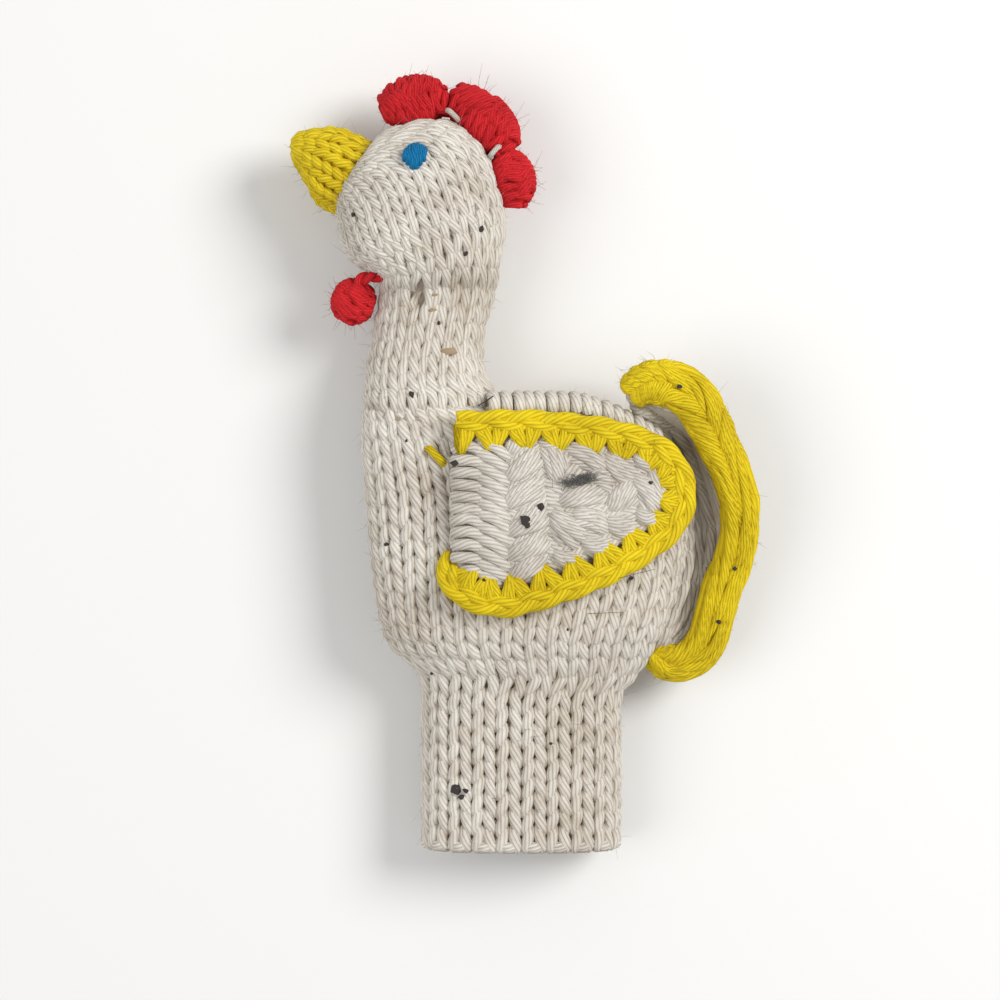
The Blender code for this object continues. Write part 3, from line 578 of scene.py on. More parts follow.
shoulder_row = knit("shoulder_row", lower_skin, [len(lower_rows) - 2.4], TORSO_WALES, CREAM_YARN,
                    cream_yarn, None, shoulder_lie)
first_up = (back.y + 0.6 * ROW_HEIGHT - UPPER[0].y) / ROW_HEIGHT
wale_width = girth(lower_skin, len(lower_rows) - 3) / TORSO_WALES
head_rows = np.arange(first_up + math.ceil(neck_end - first_up), len(upper_rows) - 1)
widest = max(head_rows, key=lambda row: girth(upper_skin, row))
SLIT = (-0.0141, 0.0218)            # middle of the slit that one stretched stitch leaves
SLIT_LENGTH = 0.0015                # from its middle to where it has mostly closed
SLIT_OPENING = 0.0007               # how far the yarn moves aside
SLIT_SINK = 0.0014                  # how far a strand across it drops
NECK_LAP = 0.00025                  # how far the neck's first rows lie over the torso
NECK_TUCK = 0.0017                  # how far the feet of its first row are tucked in


def neck_lie(p):
    """The neck's first rows lie over the torso, and one stretched stitch leaves a slit."""
    x, y = p[:, 0] - SLIT[0], p[:, 1] - SLIT[1]
    near = np.exp(-(y / SLIT_LENGTH) ** 2) * (p[:, 2] > HEAD_LIFT + HEAD_DEPTH / 2)
    shift = np.zeros_like(p)
    shift[:, 0] = SLIT_OPENING * np.tanh(x / 0.00025) * np.exp(-(x / 0.0020) ** 2) * near
    lap = -NECK_LAP * (p[:, 1] < back.y + 0.0006)
    return lap + SLIT_SINK * np.exp(-(x / 0.00035) ** 2) * near, shift


neck = knit("neck", upper_skin, np.arange(first_up, head_rows[0] - 0.5), wale_width,
            NECK_YARN, cream_yarn, widest, neck_lie, NECK_TUCK)
head = knit("head", upper_skin, head_rows, wale_width, HEAD_YARN, cream_yarn, widest)
for piece in (cuff, torso_low, torso_high, shoulder_row, neck, head):
    finish_yarn(piece, "cream_yarn", "body")


def through(points, count):
    """Points along a smooth curve through a few points, about evenly spaced."""
    fine = np.linspace(0, len(points) - 1, 40 * len(points))
    columns = [list(column) for column in zip(*points)]
    curve = np.array([[smooth(column, t) for column in columns] for t in fine])
    travel = np.concatenate([[0.0], np.cumsum(np.linalg.norm(np.diff(curve, axis=0), axis=1))])
    wanted = np.linspace(0, travel[-1], count)
    return np.stack([np.interp(wanted, travel, column) for column in curve.T], axis=1)


def length_of(points):
    return float(np.linalg.norm(np.diff(points, axis=0), axis=1).sum())


def framed(path):
    """The directions along, to the right of and up from a path."""
    along = np.gradient(path, axis=0)
    along /= np.linalg.norm(along, axis=1, keepdims=True)
    side = np.cross(along, (0.0, 0.0, 1.0))
    side /= np.linalg.norm(side, axis=1, keepdims=True)
    return along, side, np.cross(side, along)


# The cast-off ridge where the front and the back of the torso are joined, from the neck to the tail
RIDGE_YARN = 0.95 * CREAM_YARN
RIDGE_START = 0.0029                # in from the side of the neck
RIDGE_LENGTH = 0.0229
RIDGE_RISE = 0.0008
RIDGE_DROP = 0.01364                # how steeply it falls towards the tail
RIDGE_BARS = 16
RIDGE_HALF_WIDTH = 0.0030
RIDGE_ROUND = 0.0014
ridge_line = []
for share in np.linspace(0.0, 1.0, 12):
    x = shoulder.x + shoulder.half_width - RIDGE_START + share * RIDGE_LENGTH
    drop = RIDGE_DROP * max(0.0, share - 0.45) ** 1.6
    at = station_at(np.interp(back.y - drop, [s.y for s in LOWER[:FIRST_NECK]], range(FIRST_NECK)))
    ridge_line.append((x, back.y + RIDGE_RISE - drop,
                       (at.low + at.high) / 2 + RIDGE_HALF_WIDTH * (1 - share)))
ridge_path = through(ridge_line, 80)
# Four strands run along under the bars, and the bars go round them from front to back
ridge_strands = [ridge_path + (0.0, -down, out) for down, out in
                 ((0.0004, 0.0009), (0.0004, -0.0009), (0.0016, 0.0021), (0.0016, -0.0021))]
angle = np.radians(np.linspace(-112, 112, 16))
for k in range(RIDGE_BARS):
    place = ridge_path[round(79 * (k + 0.3) / RIDGE_BARS)]
    ridge_strands.append(np.stack([
        place[0] + 0.00035 * np.sin(angle) + chance.normal(0, 0.0001),
        place[1] - 0.0006 + RIDGE_ROUND * np.cos(angle),
        place[2] + RIDGE_HALF_WIDTH * np.sin(angle)], axis=1))
finish_yarn(spin("torso_ridge", ridge_strands, RIDGE_YARN, cream_yarn), "cream_yarn", "body")

# The cast-on hem: an edge of small arcs under each wale, in a front strand and a back strand
HEM_YARN = 0.86 * CREAM_YARN
HEM_DEPTH = 0.0012
HEM_BACK = 0.0018
HEM_WAVE = 0.00045
hem_count = CUFF_WALES * STEPS
hem_phase = np.arange(hem_count) * 2 * math.pi / STEPS
hem_point, hem_normal = on_skin(lower_skin, np.zeros(hem_count), np.arange(hem_count) / hem_count)
hem_wave = HEM_WAVE * np.cos(hem_phase)
hem_front = hem_point - hem_normal * (HEM_DEPTH + hem_wave)[:, None]
hem_front[:, 1] += 0.00075 - 0.00055 * np.abs(np.sin(hem_phase / 2))
hem_back = hem_point - hem_normal * (HEM_BACK - hem_wave)[:, None]
hem_back[:, 1] += 0.0011 - 0.0005 * np.abs(np.cos(hem_phase / 2))
finish_yarn(spin("hem", [hem_front, hem_back], HEM_YARN, cream_yarn, True), "cream_yarn", "body")

# The lining
# The back of the fabric, seen only between the stitches and round the finger, in a dark cream
# that is painted shade. It is one thin sheet inside the yarn that is open at the hem.
LINING_DEPTH = 0.00155
LINING_WALL = 0.0003
# Dark cream as painted shade; the back of the fabric is the same cream yarn as the front.
lining_shade = spun_yarn("cream_shade", (0.36, 0.30, 0.235), (0.20, 0.155, 0.115), (400.0, 90.0, 1.0))


def shell(bm, rings):
    """A skin over a stack of rings, open at the first ring and closed at the last."""
    loops = []
    for ring in rings:
        verts = [bm.verts.new(point) for point in ring]
        edges = [bm.edges.new((a, b)) for a, b in zip(verts, verts[1:] + verts[:1])]
        loops.append((verts, edges))
    for before, after in zip(loops, loops[1:]):
        bmesh.ops.bridge_loops(bm, edges=before[1] + after[1])
    bmesh.ops.holes_fill(bm, edges=loops[-1][1], sides=0)


lining_mesh = bmesh.new()
for stations, first, last in ((LOWER, 0.25, FIRST_NECK - 1), (UPPER, 0.6, len(UPPER) - 1.2)):
    shell(lining_mesh, [cross_section(station_at(t, stations), -LINING_DEPTH, 40)
                        for t in np.linspace(first, last, 48)])
bmesh.ops.recalc_face_normals(lining_mesh, faces=lining_mesh.faces)
finish_yarn(put_down("lining", lining_mesh, lining_shade, wall=LINING_WALL), "cream_yarn", "body")

# Beak
# A small cone of yellow stocking stitch in a finer yarn, sewn over the end of the head. The filling
# closes the gaps between its stitches.
BEAK_LENGTH = 0.0100
BEAK_WIDTH = 0.0115
BEAK_DEPTH = 0.0094
BEAK_FORWARD = 0.0007
BEAK_DROP = 0.0016
BEAK_DIRECTION = math.radians(153.0)
BEAK_WALES = 10
BEAK_YARN = 0.00066
BEAK_ROW = 0.0017
BEAK_FILLING_DEPTH = 0.0011
# Share of the beak's length and width, tilt in degrees, and share of its depth
BEAK_OUTLINE = ((-0.30, 0.80, 58.0, 0.80), (0.00, 1.00, 61.0, 1.00), (0.33, 0.98, 70.0, 0.96),
                (0.64, 0.70, 78.0, 0.74), (0.86, 0.42, 83.0, 0.46), (0.97, 0.17, 84.0, 0.20))
yellow_yarn = spun_yarn("yellow_yarn", (0.79, 0.60, 0.012), (0.44, 0.30, 0.004), (12.0, 50.0, 1.0),
                        0.50)
yellow_knit = spun_yarn("yellow_knit", (0.80, 0.62, 0.020), (0.50, 0.32, 0.004), (30.0, 50.0, 1.0),
                        0.35)
beak_root = STATIONS[LAST]
head_middle = HEAD_LIFT + HEAD_DEPTH / 2
beak_stations = [
    Station(beak_root.x + BEAK_LENGTH * along * math.cos(BEAK_DIRECTION) - BEAK_FORWARD,
            beak_root.y + BEAK_LENGTH * along * math.sin(BEAK_DIRECTION) - BEAK_DROP,
            math.radians(tilt), BEAK_WIDTH * width / 2,
            head_middle - BEAK_DEPTH * depth / 2, head_middle + BEAK_DEPTH * depth / 2, 1.0)
    for along, width, tilt, depth in BEAK_OUTLINE]
beak_rows = ring_places(beak_stations, 0.8, len(beak_stations) - 1, BEAK_ROW)
beak = knit("beak_knit", skin_of(beak_stations, beak_rows), np.arange(0.3, len(beak_rows) - 1),
            BEAK_WALES, BEAK_YARN, yellow_knit)
finish_yarn(beak, "yellow_yarn", "beak")
beak_core = bmesh.new()
shell(beak_core, [cross_section(station_at(t, beak_stations), -BEAK_FILLING_DEPTH, 24)
                  for t in np.linspace(0.5, len(beak_stations) - 1.3, 16)])
bmesh.ops.holes_fill(beak_core, edges=[e for e in beak_core.edges if e.is_boundary], sides=0)
bmesh.ops.recalc_face_normals(beak_core, faces=beak_core.faces)
finish_yarn(put_down("beak_filling", beak_core, yellow_yarn), "yellow_yarn", "beak")

# Comb and wattle
# Three crocheted bobbles along the crown and one under the throat, in red yarn. Cream stitches
# between the lobes hold the comb on.
COMB_YARN = 0.00052
COMB_LOBE_LENGTH = 0.0120
COMB_LOBE_HEIGHT = 0.0076
COMB_LIFT = 0.0023
COMB_DEPTH = 0.0058
COMB_BASE_RADIUS = 0.0012
COMB_FORWARD = 0.0004
LOBE_SPREAD = 1.04                  # how far the strands stand out past the lobe's size
WATTLE_WIDTH = 0.0062
WATTLE_HEIGHT = 0.0068
WATTLE_DEPTH = 0.0056
WATTLE_FORWARD = 0.0034
WATTLE_DROP = 0.0026
STALK_RISE = 0.0022
STALK_SPREAD = 0.00045              # from the stalk's middle to the middle of either of its yarns
red_yarn = spun_yarn("red_yarn", (0.68, 0.020, 0.026), (0.36, 0.006, 0.010), (12.0, 50.0, 1.0), 0.4)


def crown(t):
    """A point on the back edge of the head, and the directions along and away from it."""
    def edge(u):
        s = station_at(u)
        return np.array([s.x + s.half_width * math.cos(s.tilt),
                         s.y + s.half_width * math.sin(s.tilt), head_middle])
    along = edge(t + 0.05) - edge(t - 0.05)
    along /= np.linalg.norm(along)
    return edge(t), along, np.array([along[1], -along[0], 0.0])


def bobble(lobe, radius, count, cover=150.0, bands=4):
    """A lobe of V stitches, in bands that run from one face over the edge to the other.

    The bands overlap by some degrees, and loose strands lie over them at random."""
    centre, along, away, half_sizes = lobe
    share = np.linspace(0, 1, 11)
    strands = []

    def lay(at, degrees, inset):
        """A strand on the lobe, at shares of its length and turned round it."""
        angle = np.radians(degrees)
        shrink = (1 - at ** 2) ** 0.5
        strands.append(centre + np.outer(at * (half_sizes[0] - radius), along)
                       + np.outer(np.cos(angle) * (half_sizes[1] - inset) * shrink, away)
                       + np.outer(np.sin(angle) * (half_sizes[2] - inset) * shrink, (0.0, 0.0, 1.0)))

    for band in range(bands):
        first = cover * (1 - 2 * band / bands) + 10
        last = cover * (1 - 2 * (band + 1) / bands) - 14
        opening = share if band < bands / 2 else 1 - share
        for k in range(count):
            middle = -0.74 + 1.48 * (k + 0.5 * (band % 2)) / (count - 0.5) + chance.normal(0, 0.02)
            for arm in (-1, 1):
                at = np.clip(middle + arm * (0.95 / count) * (0.08 + opening), -0.90, 0.90)
                inset = radius * (1.0 + 2.0 * np.abs(2 * share - 1) ** 3 + chance.normal(0, 0.12))
                lay(at, first + (last - first) * share, inset)
    for k in range(2 * count):
        middle, face = chance.uniform(-0.55, 0.55), (1 if k % 2 else -1)
        turn, slant = chance.uniform(15, 105) * face, chance.uniform(0.25, 0.5) * chance.choice((-1, 1))
        for j in range(4):
            at = np.clip(middle + (j - 1.5) * 0.17 + slant * (share - 0.5), -0.88, 0.88)
            inset = radius * (0.45 + 2.2 * np.abs(2 * share - 1) ** 3)
            lay(at, turn + 62 * (share - 0.5) * (1 + 0.1 * j), inset)
    return strands


def filling(name, lobes, radius, material):
    """The rounded insides of lobes, under strands of a radius."""
    shape = bmesh.new()
    for centre, along, away, half_sizes in lobes:
        inner = half_sizes - 1.15 * radius
        for vert in bmesh.ops.create_icosphere(shape, subdivisions=3, radius=1.0)["verts"]:
            x, y, z = vert.co
            vert.co = Vector(centre + along * (x * inner[0]) + away * (y * inner[1])
                             + np.array([0.0, 0.0, z * inner[2]]))
    return put_down(name, shape, material)


# Place along the crown, and the lobe's share of the length, of the height and of the lift
COMB_LOBES = ((FIRST_HEAD + 5.85, 0.86, 1.00, 1.00), (FIRST_HEAD + 4.28, 1.06, 1.00, 0.87),
              (FIRST_HEAD + 2.55, 0.73, 0.87, 0.57))
comb_strands, comb_lobes = [], []
for t, length, height, lift in COMB_LOBES:
    point, along, away = crown(t)
    centre = point + away * (COMB_LIFT * lift) + along * COMB_FORWARD
    sizes = np.array([COMB_LOBE_LENGTH * length, COMB_LOBE_HEIGHT * height, COMB_DEPTH]) / 2
    comb_strands += bobble((centre, along, away, LOBE_SPREAD * sizes), COMB_YARN,
                           round(5 * length) + 1)
    comb_lobes.append((centre, along, away, sizes))
for out, rise in ((0.8, 0.0011), (0.8, -0.0011), (1.9, 0.0006), (1.9, -0.0006)):
    base_line = [crown(t)[0] + crown(t)[2] * (out * COMB_BASE_RADIUS)
                 for t in np.linspace(COMB_LOBES[0][0] + 0.2, COMB_LOBES[-1][0] - 0.3, 24)]
    comb_strands.append(np.array(base_line) + (0.0, 0.0, rise))
finish_yarn(spin("comb_crochet", comb_strands, COMB_YARN, red_yarn), "red_yarn", "comb")
finish_yarn(filling("comb_filling", comb_lobes, COMB_YARN, red_yarn), "red_yarn", "comb")

throat_at = STATIONS[FIRST_HEAD]
throat_point = np.array([throat_at.x - throat_at.half_width * math.cos(throat_at.tilt),
                         throat_at.y - throat_at.half_width * math.sin(throat_at.tilt), head_middle])
wattle_centre = throat_point + (-WATTLE_FORWARD, -WATTLE_DROP, 0.0)
wattle_sizes = np.array([WATTLE_HEIGHT, WATTLE_WIDTH, WATTLE_DEPTH]) / 2
hang = np.array([math.sin(0.5), math.cos(0.5), 0.0])
wattle_lobe = (wattle_centre, hang, np.array([-hang[1], hang[0], 0.0]), wattle_sizes)
wattle_strands = bobble(wattle_lobe, COMB_YARN, 4, 180.0, 8)
stalk = through([wattle_centre + (0.0, WATTLE_HEIGHT * 0.25, WATTLE_DEPTH * 0.2),
                 wattle_centre + (WATTLE_WIDTH * 0.26, WATTLE_HEIGHT * 0.45, WATTLE_DEPTH * 0.35),
                 throat_point + (0.0009, 0.0009, STALK_RISE)], 16)
stalk_side = framed(stalk)[1]
twist = np.linspace(0, 2.5 * math.pi, len(stalk))[:, None]
for turn in (0.0, math.pi):
    wattle_strands.append(stalk + STALK_SPREAD * (stalk_side * np.cos(twist + turn)
                                                  + np.array([0, 0, 1]) * np.sin(twist + turn)))
finish_yarn(spin("wattle_crochet", wattle_strands, COMB_YARN, red_yarn), "red_yarn", "wattle")
finish_yarn(filling("wattle_filling", [wattle_lobe], COMB_YARN, red_yarn), "red_yarn", "wattle")

# The two cream stitches between the lobes: each one's two ends, across and up the puppet
SEWING_YARN = 0.0003575
SEWING_DIP = 0.0014
for k, (out, back_in) in enumerate((((-0.0101, 0.0473), (-0.0086, 0.0459)),
                                    ((-0.0031, 0.0424), (-0.0044, 0.0409)))):
    place = np.linspace((*out, 0.0), (*back_in, 0.0), 12)
    dip = SEWING_DIP * np.linspace(-1, 1, 12) ** 4
    place[:, 2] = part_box(f"comb_stitch_{k + 1}")[1].z - 0.0003 - dip
    piece = spin(f"comb_sewing_{k + 1}", [place], SEWING_YARN, cream_yarn)
    finish_yarn(piece, "cream_yarn", f"comb_stitch_{k + 1}")

# Eyes
# A few satin stitches of fine blue yarn on each side of the head, sewn up and down beside and over
# each other.
blue_yarn = spun_yarn("blue_yarn", (0.006, 0.200, 0.430), (0.003, 0.080, 0.200), (4.0, 50.0, 1.0), 0.3)
EYE_YARN = 0.00042
EYE_DOWN = 0.0007
# How far aside each stitch lies, and its lower and upper end, in millimetres from the eye's middle
EYE_STITCHES = ((-1.30, -0.45, 0.75), (-0.85, -1.05, 1.25), (-0.35, -1.60, 1.50), (0.15, -1.55, 1.50),
                (0.65, -1.00, 1.30), (1.10, -0.45, 0.90), (-0.10, -1.00, 1.20))
for name, up in (("eye_left", 1.0), ("eye_right", -1.0)):
    low, high = (np.array(corner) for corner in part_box(name))
    middle = (low + high) / 2 + (EYE_DOWN, -EYE_DOWN, 0.0)
    crest = (high if up > 0 else low)[2]
    share = np.linspace(0, 1, 12)
    strands = []
    for aside, foot, rise in EYE_STITCHES:
        x = middle[0] + (aside + 0.12 * (2 * share - 1)) * 0.001
        y = middle[1] + (foot + (rise - foot) * share) * 0.001
        z = crest - up * (EYE_YARN * 0.8 + 0.0011 * np.abs(2 * share - 1) ** 5)
        strands.append(np.stack([x, y, z], axis=1))
    finish_yarn(spin(name + "_stitches", strands, EYE_YARN, blue_yarn), "blue_yarn", name)

# Wings
# Each wing is a panel crocheted in cream up and down from front to tip, with a yellow edging of
# chain stitches whose long legs reach into the panel. The lower wing lies face down on the floor.
WING_LENGTH = 0.0325
WING_HEIGHT = 0.0245
WING_FRONT = 0.0040
WING_TOP_DROP = 0.0023
EDGING_STITCH = 0.0045
EDGING_YARN = 0.00078
PANEL_YARN = 0.00078
CLUSTER_YARN = 0.00066
BACKING_DEPTH = 0.0021
BAR_SPACING = 0.00161
UNDER_SPACING = 0.00125             # of the slanting strands that show between the clusters
UNDER_COLUMNS = 10
CLUSTER_STRANDS = 5
LEG_YARN = 0.80 * EDGING_YARN
PLAIT_SWING = 0.00085               # how far each of the plait's three yarns swings aside
PLAIT_DIVE = 0.00035                # how far it dips under the others
WING_PATH = (
    (0.045, 0.990), (0.300, 1.000), (0.620, 0.966), (0.860, 0.880), (0.965, 0.760), (1.000, 0.600),
    (0.965, 0.450), (0.860, 0.320), (0.590, 0.130), (0.240, 0.000), (0.100, 0.035),
    (0.025, 0.110), (0.000, 0.200), (0.025, 0.262),
)
# Points of a bar at the front and of the bar behind it, back from the front and up from its height
FRONT_BAR = ((0.0002, 0.0001), (0.0020, 0.0002), (0.0039, -0.0003))
SECOND_BAR = ((0.0035, 0.0012), (0.0054, 0.0002), (0.0076, -0.0014))
# Where each cluster of crochet starts and ends and how far it spreads, in millimetres back from
# the front of the panel and down from the top of the edging
CLUSTERS = (
    (7.4, 5.8, 10.3, 2.8, 1.8), (7.0, 9.4, 11.7, 5.9, 2.1), (6.9, 12.8, 11.8, 10.2, 2.2),
    (7.4, 16.1, 12.4, 13.6, 2.2), (7.1, 19.4, 12.4, 16.7, 2.2), (7.6, 22.5, 12.3, 19.9, 2.0),
    (13.9, 9.6, 12.7, 4.2, 2.2), (20.3, 8.3, 15.6, 4.6, 2.5), (14.0, 12.3, 20.2, 10.7, 2.2),
    (13.2, 13.4, 17.3, 17.2, 2.4), (20.6, 16.4, 15.8, 14.0, 2.0), (13.5, 18.8, 17.4, 21.3, 2.0),
    (20.8, 13.3, 24.0, 10.0, 2.0), (20.4, 6.0, 23.9, 9.1, 2.2), (24.0, 8.8, 27.4, 13.2, 2.1),
    (24.0, 5.2, 27.2, 7.6, 1.8), (26.9, 7.4, 28.9, 13.0, 1.8), (20.3, 14.5, 24.9, 16.1, 2.0),
    (16.9, 2.6, 21.5, 4.9, 1.8), (17.3, 17.4, 21.8, 19.3, 2.0), (24.6, 13.3, 27.9, 14.6, 1.6),
    (10.9, 2.7, 15.0, 4.4, 1.6), (17.5, 9.2, 20.9, 10.0, 1.6), (10.0, 23.4, 14.0, 22.4, 1.8),
)
wing_left_x = -CUFF_WIDTH / 2 + WING_FRONT + CAD_SHIFT
wing_top_y = hem_height + CUFF_LENGTH + TORSO_LENGTH - WING_TOP_DROP
cream_crochet = spun_yarn("cream_crochet", (0.70, 0.665, 0.60), (0.38, 0.32, 0.26), (5.0, 50.0, 1.0),
                          0.7)


def wing_outline(count):
    """Points along the middle of the wing's edging, seen from above."""
    points = [(wing_left_x + 0.975 * WING_LENGTH * x, wing_top_y - WING_HEIGHT * (1 - y), 0.0)
              for x, y in WING_PATH]
    return through(points, count)


class Ground:
    """The upper or lower face of some solid pieces, which yarn is laid on."""

    def __init__(self, up, *names):
        self.up = up
        bm = bmesh.new()
        for name in names:
            bm.from_mesh(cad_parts[name].data)
        self.tree = BVHTree.FromBMesh(bm)
        bm.free()

    def height(self, x, y):
        start = Vector((x, y, 0.1 * self.up))
        hit = self.tree.ray_cast(start, Vector((0, 0, -self.up)))[0]
        if hit is None:
            hit = self.tree.find_nearest(Vector((x, y, 0.01)))[0]
        return hit.z

    def covers(self, x, y):
        start = Vector((x, y, 0.1 * self.up))
        return self.tree.ray_cast(start, Vector((0, 0, -self.up)))[0] is not None

    def lay(self, flat, sink):
        """Points over a flat line, sunk below the face by a distance for each point."""
        flat = np.asarray(flat)
        crest = np.array([self.height(x, y) for x, y in flat[:, :2]])
        if len(crest) > 6:
            crest = np.convolve(np.pad(crest, 3, mode="edge"), np.ones(7) / 7, "valid")
        return np.column_stack([flat[:, 0], flat[:, 1], crest - self.up * np.asarray(sink)])


def panel_stitches(ground, whole):
    """The cream strands of a wing: stacked bars at the front, bars that lean, then clusters."""
    front, top = wing_left_x + 0.0007, wing_top_y + 0.0015
    bars, clusters = [], []

    def strand(points, deep, sink, found):
        line = through([(x, y, 0.0) for x, y in points], 12)
        share = np.linspace(-1, 1, len(line))
        found.append(ground.lay(line, sink + deep * np.abs(share) ** 3))

    y = top - 0.0036
    while y > top - WING_HEIGHT + 0.0008:
        jolt = (0.0, chance.normal(0, 0.00015))
        front_bar, second_bar = (np.array(bar) + (front, y) for bar in (FRONT_BAR, SECOND_BAR))
        front_bar[1] += jolt
        second_bar[1] += jolt
        strand(front_bar, 0.0007, PANEL_YARN, bars)
        if y < top - 0.0040:
            strand(second_bar, 0.0008, PANEL_YARN, bars)
        y -= BAR_SPACING + chance.normal(0, 0.00005)
    for column in range(UNDER_COLUMNS):
        x = front + 0.0070 + 0.0024 * column
        slant = 0.0011 if column % 2 else -0.0011
        y = top - 0.0016
        while y > top - WING_HEIGHT - 0.0010:
            y -= UNDER_SPACING
            spots = [(x, y - slant), (x + 0.0017, y + chance.normal(0, 0.0002)),
                     (x + 0.0034, y + slant)]
            if all(whole.covers(a + 0.0017, b + rise) for a, b in spots for rise in (-0.0012, 0.0012)):
                strand(spots, 0.0006, 0.00135, bars)
    for x1, y1, x2, y2, spread in CLUSTERS:
        start = np.array([front + x1 * 0.001, top - y1 * 0.001])
        end = np.array([front + x2 * 0.001, top - y2 * 0.001])
        start, end = start + (start - end) * 0.08, end + (end - start) * 0.12
        across = np.array([start[1] - end[1], end[0] - start[0]])
        across /= np.linalg.norm(across)
        bend = across * chance.normal(0, 0.0005)
        for q in np.linspace(-1, 1, CLUSTER_STRANDS):
            shift = across * (q * spread * PANEL_YARN)
            strand([start + shift * 0.30, (start + end) / 2 + shift * 0.90 + bend,
                    end + shift * 1.20 + chance.normal(0, 0.0002, 2)],
                   0.0021, 0.35 * CLUSTER_YARN + 0.0008 * q * q, clusters)
    return bars, clusters


# How far into the panel each point of a leg lies, how far to its side, and how deep
LEG_POINTS = ((0.0004, 1.05, 0.00150), (0.0014, 0.90, 0.00085), (0.0026, 0.50, 0.00075),
              (0.0038, 0.10, 0.00175))


def edging_stitches(ground):
    """The yellow edging: a plait of chain stitches, legs into the panel, and cords beneath."""
    stitches = round(length_of(wing_outline(60)) / EDGING_STITCH)
    outline = wing_outline(16 * stitches + 1)
    side = framed(outline)[1]
    crest = ground.lay(outline, np.zeros(len(outline)))[:, 2]
    crest = np.convolve(np.pad(crest, 10, mode="edge"), np.ones(21) / 21, "valid")
    up = ground.up
    index = np.linspace(0, stitches, len(outline))

    def at(shift, sink):
        return np.column_stack([outline[:, 0] + side[:, 0] * shift, outline[:, 1] + side[:, 1] * shift,
                                crest - up * sink])

    cords = []
    for j in range(3):
        swing = 2 * math.pi * (index / 3 + j / 3)
        cords.append(at(PLAIT_SWING * np.sin(swing),
                        EDGING_YARN + PLAIT_DIVE * (1 - np.sin(2 * swing))))
    cords += [at(-0.00065, 0.0020), at(0.00065, 0.0019), at(0.0, 0.0024)]
    legs = []
    for k in range(stitches):
        for shift in (-0.44, -0.17, 0.17, 0.44):
            line = []
            for inward, slide, sink in LEG_POINTS:
                s = min(max(k + shift * slide + chance.normal(0, 0.015), 0.0), stitches)
                base = [np.interp(s, index, column) for column in
                        (outline[:, 0], outline[:, 1], crest, side[:, 0], side[:, 1])]
                line.append((base[0] + base[3] * inward, base[1] + base[4] * inward,
                             base[2] - up * sink))
            legs.append(through(line, 9))
    return cords, legs


def panel_sheet(name, ground):
    """The body of the crocheted panel under its strands."""
    outline = wing_outline(120)
    tip = int(np.argmax(outline[:, 0]))
    top_edge, bottom_edge = outline[:tip + 1], outline[tip:][::-1]
    bottom_edge = bottom_edge[int(np.argmin(bottom_edge[:, 0])):]
    front, end = wing_left_x + 0.0014, outline[tip][0] - 0.0009
    panel = bmesh.new()
    bmesh.ops.create_grid(panel, x_segments=28, y_segments=20, size=0.5)
    for vert in panel.verts:
        x = front + (end - front) * (vert.co.x + 0.5)
        top = np.interp(x, top_edge[:, 0], top_edge[:, 1])
        bottom = np.interp(x, bottom_edge[:, 0], bottom_edge[:, 1])
        y = bottom + (top - bottom) * (vert.co.y + 0.5)
        vert.co = (x, y, ground.height(x, y) - ground.up * BACKING_DEPTH)
    bmesh.ops.recalc_face_normals(panel, faces=panel.faces)
    return put_down(name, panel, cream_crochet, wall=0.0010)


for wing, up in (("wing_left", 1.0), ("wing_right", -1.0)):
    edging = wing + "_edging"
    ground = Ground(up, wing)
    finish_yarn(panel_sheet(wing + "_backing", ground), "cream_yarn", wing)
    bars, clusters = panel_stitches(ground, Ground(up, wing, edging))
    cords, legs = edging_stitches(Ground(up, edging))
    for name, strands, radius, yarn, slot, node in (
            ("_bars", bars, PANEL_YARN, cream_crochet, "cream_yarn", wing),
            ("_clusters", clusters, CLUSTER_YARN, cream_crochet, "cream_yarn", wing),
            ("_plait", cords, EDGING_YARN, yellow_yarn, "yellow_yarn", edging),
            ("_legs", legs, LEG_YARN, yellow_yarn, "yellow_yarn", edging)):
        finish_yarn(spin(wing + name, strands, radius, yarn), slot, node)

# The loose end of yellow yarn that shows between two wales in front of the wing
low, high = (np.array(corner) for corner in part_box("wing_yarn_end"))
YARN_END = 0.00055                  # radius
end_line = through([(low[0] + 0.0009, high[1] - 0.0001, high[2] - 0.0022),
                    (low[0] + 0.0016, high[1] - 0.0008, high[2] - 0.00075),
                    (high[0] + 0.0002, low[1] + 0.0006, high[2] - 0.00075),
                    (high[0] + 0.0010, low[1] - 0.0003, high[2] - 0.0020)], 14)
yarn_end = spin("wing_yarn_tail", [end_line], YARN_END, yellow_yarn)
finish_yarn(yarn_end, "yellow_yarn", "wing_yarn_end")

# Tail
# A cupped fan crocheted out from the back in cream, with a thick rim of yellow crochet along its free
# edge. The fan is rows of chain stitches over a thin backing.
TAIL_FOOT = 0.0054
TAIL_OVER = 0.0030
TAIL_REACH = 0.0137
TAIL_DIP = 0.0045
TAIL_RIM_WIDTH = 0.0050
TAIL_RIM_THICKNESS = 0.0042
TAIL_SET = 0.0019
TAIL_TOP_RISE = 0.0040
TAIL_END_DROP = 0.0030
TAIL_STITCH = 0.0048
RIM_YARN = 0.00088
RIM_CORD_YARN = 0.95 * RIM_YARN
RIM_STITCH_YARN = 0.66 * RIM_YARN
RIM_RIPPLE = 0.00015
CHAIN_STITCH = 0.0031
CHAIN_WIDTH = 0.0019
CHAIN_DIVE = 0.00034
FAN_ROWS = (0.10, 0.30, 0.50, 0.70, 0.88)    # from the back to the rim
